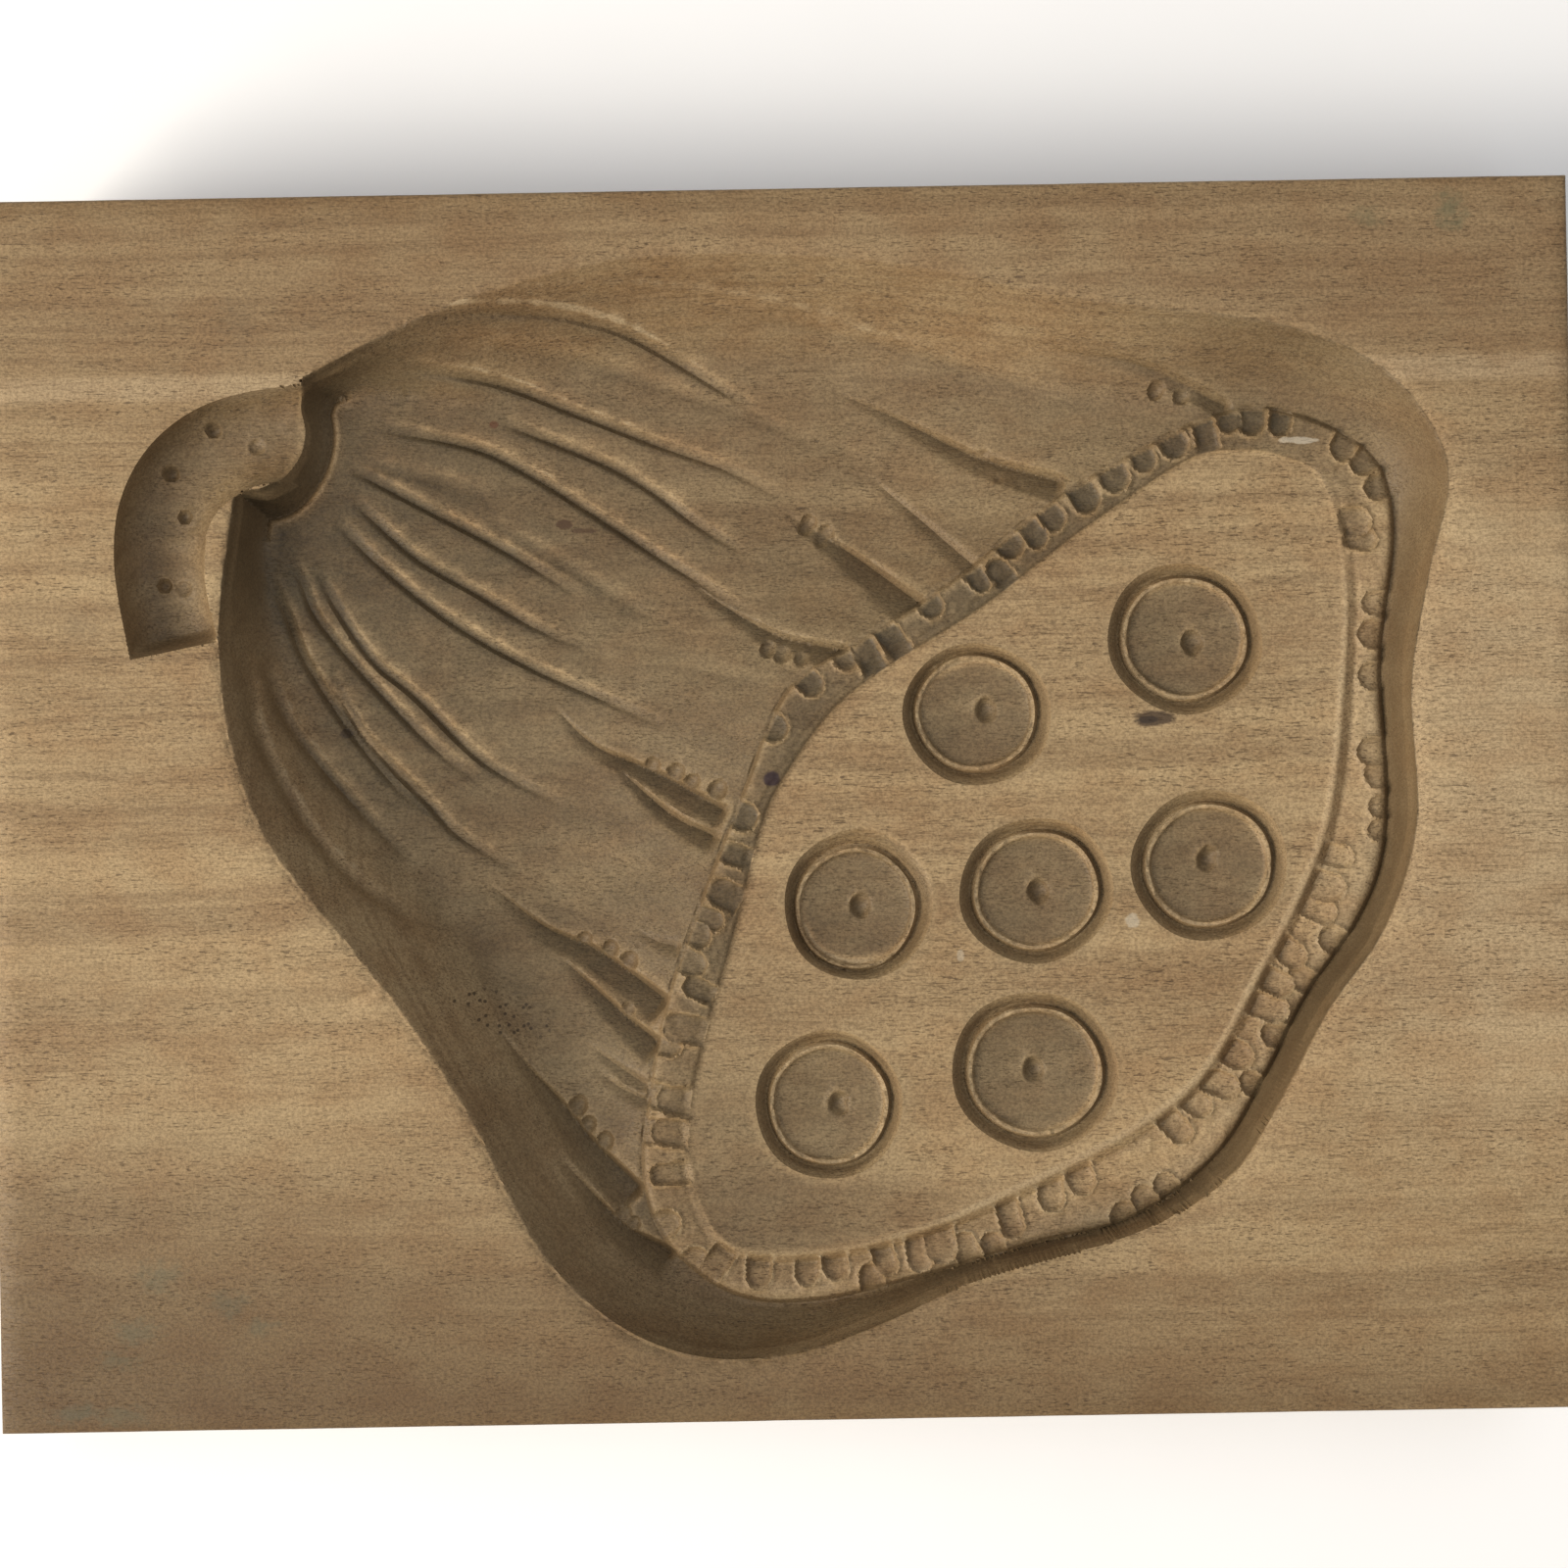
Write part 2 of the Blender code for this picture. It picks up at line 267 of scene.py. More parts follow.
# %% The veins' lines, from the neck outwards, and their section
VEINS = (
    ((-79.5, 100.5), (-58, 102), (-42.5, 101.5), (-26.5, 96.5), (1.5, 79)),
    ((-77.5, 91.5), (-58.5, 89), (-42.5, 83), (-27, 77), (-11, 71), (1, 64.5)),
    ((-59, 81.5), (-38, 73), (-27.5, 67), (-17, 59), (-6.5, 52.5)),
    ((-84, 80), (-64.5, 76), (-53, 70.5), (-38, 61), (-27, 53.5), (-16.5, 46.5), (-3.5, 37)),
    ((-90.5, 72), (-75, 63.5), (-58.5, 54.5), (-42.5, 44.5)),
    ((-89.5, 65), (-77.5, 53.5), (-64.5, 45.5), (-52, 38), (-40.5, 33)),
    ((-93.5, 61), (-84, 51), (-70, 39.5), (-54, 30), (-39, 23), (-25, 16.5)),
    ((-97.5, 50.5), (-93, 41.5), (-86.5, 31.5), (-78, 24), (-63.5, 9.5), (-46.5, 0)),
    ((-103, 53), (-100.5, 47.5), (-97.5, 40), (-85.5, 25), (-72.5, 11.5), (-63.5, 5)),
    ((-108, 50), (-104, 41), (-100.5, 31.5), (-91.5, 16.5), (-81, 3.5), (-73.5, -2)),
    ((-96, 29), (-92, 21.5), (-88, 14.5), (-76, 1.5), (-69, -6), (-56, -14)),
    ((-108.5, 32), (-105.5, 22.5), (-101.5, 15), (-91.5, 2), (-79, -11.5)),
    ((-112.5, 33.5), (-110.5, 24.5), (-109, 16), (-101, -0.5), (-90.5, -14), (-76.5, -24.5)),
)
FAINT_VEINS = (
    ((-66, 103), (-36, 106), (-8, 104), (18, 98), (38, 91)),
    ((-70, 96), (-44, 94), (-18, 86), (6, 77), (22, 70)),
    ((-12, 103), (22, 96), (48, 88), (66, 82)),
    ((-62, 60), (-46, 51), (-30, 41), (-18, 34)),
    ((-88, 72.5), (-72, 69), (-58.5, 64.5)),
)
VEIN_DEPTH = 1.15
FAINT_DEPTH = 0.4
VEIN_STEEP = 0.9
VEIN_SLOPE = 2.3
VEIN_CREST = 0.42


def vein_place(points, line):
    """Distance to the left of a vein's line, and the taper of its ends: 0 at the tips, 1 between."""
    left, along = beside(points, line)
    share = along / np.linalg.norm(np.diff(line, axis=0), axis=1).sum()
    return left, np.clip(share / 0.2, 0, 1) ** 0.7 * np.clip((1 - share) / 0.4, 0, 1) ** 0.8


def vein_depth(points, line, full):
    """Extra depth of one vein: the full depth, times a taper along the line, times a section that is
    1 + t/steep on its right and 1 - (t/slope)^1.2 on its left, less a torn crest at the slope's top."""
    left, taper = vein_place(points, line)
    steep = np.clip(1 + left / VEIN_STEEP, 0, 1)
    slope = 1 - np.clip(left / VEIN_SLOPE, 0, 1) ** 1.2
    torn = 1 + 0.35 * wander(points[:, 0], points[:, 1], 1.1, 11)
    beyond = left - VEIN_SLOPE
    crest = VEIN_CREST * torn * np.exp(-((beyond / np.where(beyond < 0, 0.5, 1.2)) ** 2))
    return full * taper * (np.where(left < 0, steep, slope) - crest * (left > 0))


# %% [markdown]
# ## Pleats and thumbnail cuts
#
# Towards the rim the pod's skin is folded into pleats. Each begins as a point and widens to the rim: a
# broad slope leans down to a crevice, and a short steep wall comes back up beyond it. Small round gouge
# cuts, like thumbnail marks, sit in rows along some of the folds.

# %% The pleats' crevices, each with its greatest slope width and depth
PLEATS = (
    (((57, 93.5), (75, 90.5), (94, 82)), 3.0, 1.6),
    (((12, 87.5), (26, 81), (42.5, 72.5), (59, 67)), 5.0, 2.4),
    (((19, 69.5), (30, 59.5), (41, 49)), 3.0, 1.3),
    (((1, 62), (15.5, 52.5), (29, 42)), 6.5, 2.6),
    (((-20, 48), (-9.5, 40.5), (0.5, 35), (13, 32)), 4.5, 2.2),
    (((-49, 22), (-40, 13), (-26, 6.5), (-13, -1)), 5.0, 2.6),
    (((-37, 10), (-24.5, -1.5), (-15, -6.5)), 3.5, 2.2),
    (((-63.5, -15.5), (-51, -25.5), (-40, -30.5), (-26, -40.5)), 6.5, 3.0),
    (((-48, -31.5), (-35, -43.5), (-27.5, -49.5)), 5.0, 2.6),
    (((-42.5, -49.5), (-36, -54.5), (-30, -58.5)), 2.5, 1.2),
    (((-41, -55), (-35.5, -59), (-30, -61.5)), 2.0, 1.0),
    (((-31.5, -26), (-27, -28.5), (-23, -29.5)), 2.0, 0.9),
    (((-61.5, -45), (-55, -54), (-48.5, -61.5), (-41, -71), (-32, -80)), 6.5, 2.8),
    (((-48.5, -72.5), (-36, -87), (-25.5, -94)), 5.0, 2.4),
)
PLEAT_WALL = 1.7


def pleat_depth(points, line, width, full):
    """Extra depth of one pleat: full s^0.8 (1 - t/w)^0.9 on the broad side and (1 - t/wall)^1.1 on the
    wall side, where s is the share of the way to the rim and w = width s^0.7 is the slope's width."""
    left, along = beside(points, line)
    length = np.linalg.norm(np.diff(line, axis=0), axis=1).sum()
    share = np.clip(along / length, 1e-3, 1)
    broad = np.clip(1 + left / (width * share**0.7 + 0.3), 0, 1) ** 0.9
    wall = np.clip(1 - left / (PLEAT_WALL * (0.4 + 0.6 * share)), 0, 1) ** 1.1
    beyond = (points - line[-1]) @ directions(line)[-1]
    return 1.25 * full * share**0.8 * np.where(left < 0, broad, wall) * np.clip(1 - beyond / 1.5, 0, 1)


# %% The thumbnail cuts: places, and how each row's cuts are turned
THUMBNAILS = (
    (79.5, 85.5), (85, 84.5), (43, 71.5), (47, 69), (51.5, 67.5), (56, 66), (6, 59), (9.5, 56.5),
    (-2.5, 33), (0.5, 32), (4.5, 31), (-28, 8), (-23, 6.5), (-19.5, 4.5), (-14, 3),
    (-43, -28.5), (-37.5, -30.5), (-33.5, -33), (-33.5, -43), (-44.5, -63), (-42.5, -67),
    (-39, -70.5), (-35.5, -86), (-33.5, -88),
)
THUMBNAIL_RADIUS = 1.9
THUMBNAIL_DEPTH = 1.5


def thumbnail_depth(points):
    """Extra depth of the thumbnail cuts: each is a bowl (1 - (r/R)^2)^0.6, a little longer than wide."""
    extra = np.zeros(len(points))
    turn = radians(60)
    for number, (x, y) in enumerate(THUMBNAILS):
        size = THUMBNAIL_RADIUS * (0.92 + 0.16 * ((number * 7) % 5) / 4)
        u = (points[:, 0] - x) * cos(turn) + (points[:, 1] - y) * sin(turn)
        v = (points[:, 1] - y) * cos(turn) - (points[:, 0] - x) * sin(turn)
        bowl = np.clip(1 - (u / (1.35 * size)) ** 2 - (v / size) ** 2, 0, 1) ** 0.6
        extra = np.maximum(extra, THUMBNAIL_DEPTH * bowl)
    return extra


# %% [markdown]
# ## The notched rim
#
# The pod's frilled rim is a flat band with gouge cuts along both of its edges. A cut is a short round-ended
# trough. It is deepest at the open edge and runs out towards the middle of the band, and thin walls are
# left standing where two cuts come close.

# %% Where the cuts stand, as distances along the rim's outline, and their shape
CUTS_OUTWARD = (
    10.7, 17.5, 24.9, 32.7, 40.9, 46.3, 51.8, 61.0, 71.8, 83.5, 92.7, 102.5, 115.0, 135.3, 157.9, 162.3,
    167.3, 186.2, 197.0, 204.4, 225.9, 236.6, 277.5, 299.0, 304.1, 332.4, 337.7, 343.8, 372.5, 384.5,
    397.5, 407.2, 433.9, 438.4, 445.7, 450.5, 466.4, 474.6, 481.3, 506.5, 513.7, 520.3, 535.2, 541.7, 547.0,
)
CUTS_INWARD = (
    3.0, 57.3, 82.7, 88.0, 143.3, 151.4, 171.9, 181.8, 197.5, 204.0, 214.3, 240.6, 252.6, 262.7, 270.9,
    282.3, 287.8, 292.7, 309.2, 316.7, 325.7, 354.0, 362.7, 371.0, 376.9, 389.5, 394.3, 399.3, 412.0,
    419.0, 426.5, 493.9, 498.7,
)
CUT_HALF_WIDTH = 2.7
CUT_LENGTH = 6.4
CUT_DEPTH = 1.05
CUT_OVERHANG = 0.3


def cut_depth(points, base, inwards, half_width, length, depth):
    """Extra depth of one cut that starts at its base and runs inwards: across it the section is
    (1 - |t|^4)^0.6, along it the floor rises by a third to a half-round end, and a burr stands round it."""
    x = (points - base) @ inwards
    y = (points - base) @ np.array((-inwards[1], inwards[0]))
    end = length - half_width
    t = np.hypot(np.maximum(x - end, 0), y) / half_width
    floor = depth * (1 - 0.35 * np.clip(x / length, 0, 1))
    burr = 0.45 * np.exp(-(((t - 1.1) / 0.12) ** 2)) * (x < length + 1)
    return np.where(x > -2.0, floor * np.clip(1 - t**4, 0, 1) ** 0.6 - burr, 0)


def rim_cuts(points):
    """Extra depth of all the cuts on the rim band. Outward cuts start at the rim's outline, inward ones
    at the foot of the seed face, and each has its own small difference in size and direction."""
    draw = np.random.default_rng(5)
    extra = np.zeros(len(points))
    step = np.linalg.norm(rim_line[1] - rim_line[0])
    ahead = directions(rim_line, closed=True)
    for row, places in enumerate((CUTS_OUTWARD, CUTS_INWARD)):
        for place in places:
            index = int(round(place / step)) % len(rim_line)
            inwards = np.array((-ahead[index, 1], ahead[index, 0]))
            lean = radians(draw.uniform(-8, 8))
            inwards = np.array((inwards[0] * cos(lean) - inwards[1] * sin(lean),
                                inwards[0] * sin(lean) + inwards[1] * cos(lean)))
            base = rim_line[index] - CUT_OVERHANG * inwards
            if row:
                gap = np.linalg.norm(face_line - rim_line[index], axis=1).min()
                base = rim_line[index] + (gap - SEED_FACE_STEP + 0.2) * inwards
                inwards = -inwards
            half_width = CUT_HALF_WIDTH * draw.uniform(0.82, 1.15)
            length = CUT_LENGTH * draw.uniform(0.7, 1.15)
            depth = CUT_DEPTH * draw.uniform(0.75, 1.2)
            near = np.abs(points - base).max(axis=1) < 9
            cut = cut_depth(points[near], base, inwards, half_width, length, depth)
            so_far = extra[near]
            extra[near] = np.where(cut > 0.05, np.maximum(so_far, cut), so_far + np.minimum(cut, 0))
    return extra


# %% [markdown]
# ## Seed pits
#
# Seven seeds sit in the face. Each is a ring and a disc: a sloping outer wall runs down to a V, a thin
# torn crest stands inside it, then comes a slightly cupped disc with a deep prick in its middle.

# %% The pits: centre and half widths, the ring's middle, and the prick's middle
SEEDS = (
    ((84.5, 33.2), (16.2, 15.8), (84.8, 33.4), (86.8, 32.4)),
    ((40.8, 18.0), (15.8, 14.7), (40.6, 18.5), (43.0, 19.1)),
    ((15.3, -21.2), (15.8, 15.6), (14.6, -22.3), (15.9, -21.9)),
    ((52.5, -19.0), (16.2, 15.2), (52.7, -19.1), (53.5, -19.4)),
    ((88.8, -14.3), (16.2, 16.0), (89.1, -14.4), (89.1, -13.2)),
    ((8.3, -63.1), (15.2, 15.8), (8.4, -63.3), (10.5, -63.4)),
    ((51.6, -56.9), (17.4, 16.8), (51.8, -57.1), (51.8, -56.9)),
)
PIT_SHARES = (0.0, 0.10, 0.30, 0.705, 0.735, 0.755, 0.805, 0.83, 0.855, 0.88, 0.92, 0.965, 1.0)
PIT_DEPTHS = (4.2, 4.1, 3.7, 3.1, 2.85, 2.2, 2.05, 2.8, 3.4, 3.2, 2.0, 0.75, 0.0)
CREST_SHARE = 0.78
CREST_TEAR = 0.35
PRICK_RADIUS = 2.3
PRICK_DEPTH = 1.5


def waver(turn, seed):
    """How far a pit's radius wavers round it: 1 plus a wave of two crests and a wave of five."""
    return 1 + 0.016 * np.sin(2 * turn + seed) + 0.009 * np.sin(5 * turn + 2 * seed)


def pit_share(points, centre, half, ring, seed):
    """How far out each point is in a pit, as a share of its radius. Inwards of the wall the centre
    drifts to the ring's own middle, and the radius wavers a little round the pit."""
    x, y = points[:, 0] - centre[0], points[:, 1] - centre[1]
    share = np.hypot(x / half[0], y / half[1])
    drift = ramp(1.05 - share, 0, 0.25)
    x, y = x - drift * (ring[0] - centre[0]), y - drift * (ring[1] - centre[1])
    return np.hypot(x / half[0], y / half[1]) * waver(np.arctan2(y, x), seed)


def pit_depth(points, centre, half, ring, prick, seed):
    """Depth of one pit below the seed face: straight stretches between the profile's points, a crest
    torn by noise, and a prick that is deep (1 - (r/R)^2) with a small lip thrown up on one side."""
    share = pit_share(points, centre, half, ring, seed)
    depth = np.interp(share, PIT_SHARES, PIT_DEPTHS)
    crest = np.exp(-(((share - CREST_SHARE) / 0.035) ** 2))
    depth -= crest * CREST_TEAR * wander(points[:, 0], points[:, 1], 0.9, 21 + seed)
    x, y = points[:, 0] - prick[0], points[:, 1] - prick[1]
    x, y = x + 0.35 * wander(x, y, 1.6, 31 + seed), y + 0.35 * wander(y, x, 1.4, 41 + seed)
    away = np.hypot(x, y * 0.85) / PRICK_RADIUS
    depth += PRICK_DEPTH * np.clip(1 - away**2, 0, 1)
    lip = np.exp(-((away - 1.15) / 0.22) ** 2) * np.clip((y - x) / (2 * PRICK_RADIUS), 0, 1)
    return depth - 0.5 * lip


# %% [markdown]
# ## The stem and the crescent
#
# The stem is a channel of half-elliptical section that hooks round into the neck, with a few pricks in its
# floor. Where it meets the pod a curved knife cut drops straight to the neck's floor. Seen from above that
# wall is the dark crescent, and a small ridge of bruised wood stands just beyond its foot.

# %% The stem's centre line with its half width, and the pricks in its floor
STEM_DEPTH = 8.5
STEM_END_WALL = 3.6
STEM_RIGHT = -94.0
STEM_BOTTOM = 30.0
STEM_TOP = 120.0
STEM_LINE = (
    (-124.0, 33.5, 9.0), (-126.0, 44.0, 9.0), (-126.8, 52.5, 9.1), (-125.6, 61.0, 9.4),
    (-121.5, 68.5, 9.6), (-115.0, 73.8, 9.6), (-107.0, 76.6, 9.5), (-96.0, 78.0, 9.5),
)
STEM_PRICKS = ((-116.7, 79.4, 1.6, 1.3), (-108, 76, 1.7, 0.5), (-125.8, 70.6, 1.6, 1.3),
               (-123.1, 61.6, 1.5, 1.4), (-127.6, 47.4, 1.5, 1.4), (-123.6, 46.8, 1.7, 0.4))
stem_line = evenly(STEM_LINE, 0.9)


def stem_depth(points):
    """Depth of the stem's channel: full (1 - c^2)^0.4 where c is the distance from the centre line as a
    share of the half width, times a rounded end wall, plus the pricks."""
    left, along = beside(points, stem_line[:, :2])
    ruler = np.concatenate(([0], np.cumsum(np.linalg.norm(np.diff(stem_line[:, :2], axis=0), axis=1))))
    half = np.interp(along, ruler, stem_line[:, 2])
    ahead = directions(stem_line[:, :2])
    into = (points - stem_line[0, :2]) @ ahead[0]
    past = (points - stem_line[-1, :2]) @ ahead[-1]
    in_reach = ((into > 0) | (along > 1)) & (past < 9)
    end_wall = wall_share(np.where(along > 2 * STEM_END_WALL, along, np.maximum(into, 0)), STEM_END_WALL)
    depth = STEM_DEPTH * np.clip(1 - (left / half) ** 2, 0, 1) ** 0.4 * end_wall
    depth += 0.14 * wander(points[:, 0], points[:, 1], 1.7, 12) * (depth > 3)
    for x, y, radius, deep in STEM_PRICKS:
        away = np.hypot(points[:, 0] - x, points[:, 1] - y) / radius
        depth += deep * np.clip(1 - away**2, 0, 1) ** 0.7 - 0.15 * np.exp(-(((away - 1.15) / 0.25) ** 2))
    return np.where(in_reach & (np.abs(left) < half), depth, 0)


# %% [markdown]
# ## The whole face as one function
#
# Now the parts are put together. At every place the deepest cut wins, as it does under the knife, and the
# small cuts are added to the floor that they were made in.

# %% Depth of the carving anywhere on the plank
CHIPS = ((-85.5, -37.5, 1.6, 0.7), (-63, -68, 1.3, 0.6), (-59, -76.5, 1.2, 0.5))
CHIP_SQUEEZE = 1.4
RIM_CREASE = 0.3
CRACK_DEPTH = 0.6


def board_depth(points, edge):
    """Depth of the uncut face: slow waves, a saw's ripple, and the pod's edge worn over. The wear dies
    away with the distance from the edge as e^(-d/s), where s is the softness of the edge, and the
    edge itself is a little ragged."""
    x, y = points[:, 0], points[:, 1]
    depth = 0.06 * wander(x, y, 38, 1) + 0.025 * wander(x / 4, y, 5, 2)
    worn = lower_right(points)
    softness = 0.9 + 1.5 * worn + 0.3 * wander(x, y, 6, 3)
    eased = (0.45 + 1.0 * worn) * np.exp(np.minimum(edge, 0) / softness) * np.exp(-np.maximum(edge, 0))
    ragged = 0.22 * wander(x, y, 1.0, 15) * np.exp(-((edge / 1.2) ** 2))
    return depth + np.where(edge > -9, eased, 0) + ragged


def folds_depth(points):
    """Extra depth of the veins, pleats and thumbnail cuts on the body. The deepest cut wins, and the
    torn crests of the veins, which are less than nothing, are added to what is there already."""
    folds = np.zeros(len(points))
    for line, full in [(v, VEIN_DEPTH) for v in VEINS] + [(v, FAINT_DEPTH) for v in FAINT_VEINS]:
        vein = vein_depth(points, evenly(line, 2.0), full)
        folds = np.where(vein > 0.02, np.maximum(folds, vein), folds + np.minimum(vein, 0))
    for line, width, full in PLEATS:
        folds = np.maximum(folds, pleat_depth(points, evenly(line, 2.0), width, full))
    return np.maximum(folds, thumbnail_depth(points))


def band_depth(points, rim, face):
    """Depth of the rim band with its cuts, and of the crease at the foot of the seed face. The band's
    outer edge stands up at the lower right, by up to 0.9 mm."""
    side = lower_right(points)
    lifted = 0.9 * side * np.clip(1 - rim / 8, 0, 1)
    uneven = 0.14 * wander(points[:, 0], points[:, 1], 1.3, 6)
    crease = RIM_CREASE * np.exp(-(((face + 1.3 + 1.2 * side) / 0.7) ** 2))
    return rim_depth(points) - lifted + rim_cuts(points) + uneven + crease


def pod_depth(points, edge, start):
    """Depth inside the pod: the body with its folds, blended into the rim band over the rim's step, and
    that blended into the flat seed face over its own step, with the seed pits let into the face."""
    x, y = points[:, 0], points[:, 1]
    rim, _ = beside(points, rim_line, closed=True)
    face, _ = beside(points, face_line, closed=True)
    side = lower_right(points)
    bowl = body_depth(points, edge, np.maximum(-rim, 0), start)
    body = (rim < 1.5) & (edge > 0.5)
    folds = np.zeros(len(points))
    folds[body] = folds_depth(points[body])
    bowl += folds * ramp(edge, 1, 6) + 0.10 * wander(x, y, 3.5, 4) * ramp(edge, 0.5, 3)

    # A crack of torn wood runs along the upper left of the rim's foot.
    rise = 1 - (1 - np.clip((rim + 0.2) / (RIM_STEP + 1.2 * side), 0, 1)) ** 2
    torn = 1 + 0.5 * wander(x, y, 2.2, 14)
    crack = CRACK_DEPTH * torn * (1 - side) * np.exp(-(((rim - 0.1) / 0.4) ** 2))
    floor = bowl * (1 - rise) + band_depth(points, rim, face) * rise + crack

    # The seed face climbs from the band's floor, and its lower right edge is rounded over.
    climb = ramp(face + 1.2 * side, -0.6 * SEED_FACE_STEP, 0.4 * SEED_FACE_STEP)
    flat = SEED_FACE_DEPTH + 0.06 * wander(x, y, 14, 7)
    flat -= side * 0.45 * np.exp(-(((face - 0.1) / 0.75) ** 2))
    floor = floor * (1 - climb) + flat * climb
    for number, (centre, half, ring, prick) in enumerate(SEEDS):
        near = np.hypot((x - centre[0]) / half[0], (y - centre[1]) / half[1]) < 1.1
        floor[near] += pit_depth(points[near], centre, half, ring, prick, number)
    return floor


def carved(points):
    """Depth in millimetres below the plank's face at an array of places (x, y)."""
    x, y = points[:, 0], points[:, 1]
    in_pod = inside(points, pod_line, POD_MIDDLE)
    edge = np.abs(beside(points, pod_line, closed=True)[0]) * np.where(in_pod, 1, -1)
    stem = np.zeros(len(points))
    near_stem = (x < STEM_RIGHT) & (y > STEM_BOTTOM)
    stem[near_stem] = stem_depth(points[near_stem])
    depth = board_depth(points, edge)
    depth[in_pod] = np.maximum(depth[in_pod], pod_depth(points[in_pod], edge[in_pod], stem[in_pod]))
    depth = np.maximum(depth, stem)
    for chip_x, chip_y, radius, deep in CHIPS:
        away = np.hypot(x - chip_x, (y - chip_y) * CHIP_SQUEEZE) / radius
        depth = np.where(edge < 0.3, depth + deep * np.clip(1 - away**2, 0, 1), depth)
    return depth


# %% [markdown]
# ## Where the mesh needs its points
#
# A fine grid everywhere would be far too heavy, so points are laid as a draughtsman would: rows close
# together along every edge and crest, rings in the pits, and a loose honeycomb on the plain areas. A
# Delaunay triangulation then joins them all, and no finer point is crowded by a coarser one.

# %% Rows, rings and honeycombs of points
def honeycomb(step, left=-LENGTH / 2, right=LENGTH / 2, bottom=-WIDTH / 2, top=WIDTH / 2):
    """Points in rows that are offset by half a step, sqrt(3)/2 of a step apart."""
    y = np.arange(bottom, top, step * 3**0.5 / 2)
    x = np.arange(left, right, step)
    grid = np.stack(np.meshgrid(x, y), axis=-1)
    grid[1::2, :, 0] += step / 2
    return grid.reshape(-1, 2)


def rows_beside(line, offsets, closed=False):
    """The line repeated at each sideways offset."""
    return np.vstack([shifted(line, offset, closed) for offset in offsets])


def clear_of(points, others, gap):
    """The points with none of the others closer than about the gap, found on a raster of half gaps."""
    cell = gap / 2
    shape = (int(LENGTH / cell) + 12, int(WIDTH / cell) + 12)

    def cells(places):
        index = ((places + (LENGTH / 2, WIDTH / 2)) / cell).astype(int) + 5
        return np.clip(index[:, 0], 3, shape[0] - 4), np.clip(index[:, 1], 3, shape[1] - 4)

    taken = np.zeros(shape, bool)
    taken[cells(others)] = True
    wide = taken.copy()
    for i in range(-2, 3):
        for j in range(-2, 3):
            if i * i + j * j <= 5:
                wide |= np.roll(taken, (i, j), axis=(0, 1))
    return points[~wide[cells(points)]]


def thinned(points, gap):
    """The points without those that share a small square with an earlier one."""
    _, first = np.unique(np.floor(points / gap).astype(int), axis=0, return_index=True)
    return points[np.sort(first)]


PIT_RING_SHARES = (1.05, 1.0, 0.98, 0.95, 0.92, 0.895, 0.875, 0.855, 0.837, 0.82, 0.804, 0.79, 0.775,
                   0.76, 0.747, 0.733, 0.70, 0.62, 0.52, 0.44, 0.36)
PIT_RING_COUNT = 112


def pit_rings(centre, half, ring, seed):
    """Rings of points in one pit, many round the crest and few on the disc, and one in the middle."""
    turn = np.arange(PIT_RING_COUNT) / PIT_RING_COUNT * 2 * pi
    rings = [np.array([centre])]
    for share in PIT_RING_SHARES:
        drift = ramp(1.05 - share, 0, 0.25)
        middle = np.array(centre) + drift * (np.array(ring) - centre)
        angle = turn if share > 0.5 else turn[::2]
        reach = share / waver(angle, seed)
        ellipse = np.column_stack((half[0] * np.cos(angle), half[1] * np.sin(angle)))
        rings.append(middle + ellipse * reach[:, None])
    return np.vstack(rings)


# %% Laying out the points of the carved face
EDGE_ROWS = (-3.0, -1.8, -1.0, -0.5, -0.15, 0.15, 0.5, 1.0, 1.8, 2.8, 4.1, 5.8, 8.0, 10.5)
RIM_ROWS = (-1.2, -0.5, -0.1, 0.3, 0.7, 1.2, 1.7)
FACE_ROWS = (-3.4, -2.9, -2.4, -1.9, -1.4, -1.0, -0.6, -0.2, 0.2, 0.6, 1.0, 1.6)
VEIN_ROWS = (-2.2, -1.4, -0.8, -0.4, 0.0, 0.45, 0.95, 1.5, 2.0, 2.35, 2.8)
PLEAT_ROWS = (-6.5, -5.2, -4.0, -3.0, -2.0, -1.2, -0.5, 0.0, 0.4, 0.8, 1.2, 1.7, 2.3)
STEM_SHARES = (-1.04, -1.0, -0.965, -0.925, -0.87, -0.8, -0.72, -0.63, -0.53, -0.42, -0.3, -0.15,
               0.15, 0.3, 0.42, 0.53, 0.63, 0.72, 0.8, 0.87, 0.925, 0.965, 1.0, 1.04)
STEM_END_ROWS = (-0.4, 0.05, 0.4, 0.8, 1.3, 1.9, 2.6, 3.3, 4.0)
NECK_ROWS = (-0.3, 0.0, 0.3, 0.7, 1.2, 1.8, 2.5, 3.2, 3.9, 4.3, 4.6, 4.95, 5.4, 6.0, 6.6)

layers = [
    rows_beside(pod_line, EDGE_ROWS, closed=True),
    rows_beside(rim_line, RIM_ROWS, closed=True),
    rows_beside(face_line, FACE_ROWS, closed=True),
]
layers += [pit_rings(centre, half, ring, n) for n, (centre, half, ring, _) in enumerate(SEEDS)]
layers += [rows_beside(evenly(line, 1.0), VEIN_ROWS) for line in VEINS]
layers += [rows_beside(evenly(line, 1.6), VEIN_ROWS[1::2]) for line in FAINT_VEINS]
layers += [rows_beside(evenly(line, 0.8), PLEAT_ROWS) for line, _, _ in PLEATS]
stem_ahead = directions(stem_line[:, :2])
stem_side = np.column_stack((-stem_ahead[:, 1], stem_ahead[:, 0]))
stem_rows = [stem_line[:, :2]]
stem_rows += [stem_line[:, :2] + share * stem_line[:, 2:] * stem_side for share in STEM_SHARES]
end_across = np.linspace(-1.02, 1.02, 34)[:, None] * stem_line[0, 2] * stem_side[0]
stem_rows += [stem_line[0, :2] + stem_ahead[0] * into + end_across for into in STEM_END_ROWS]
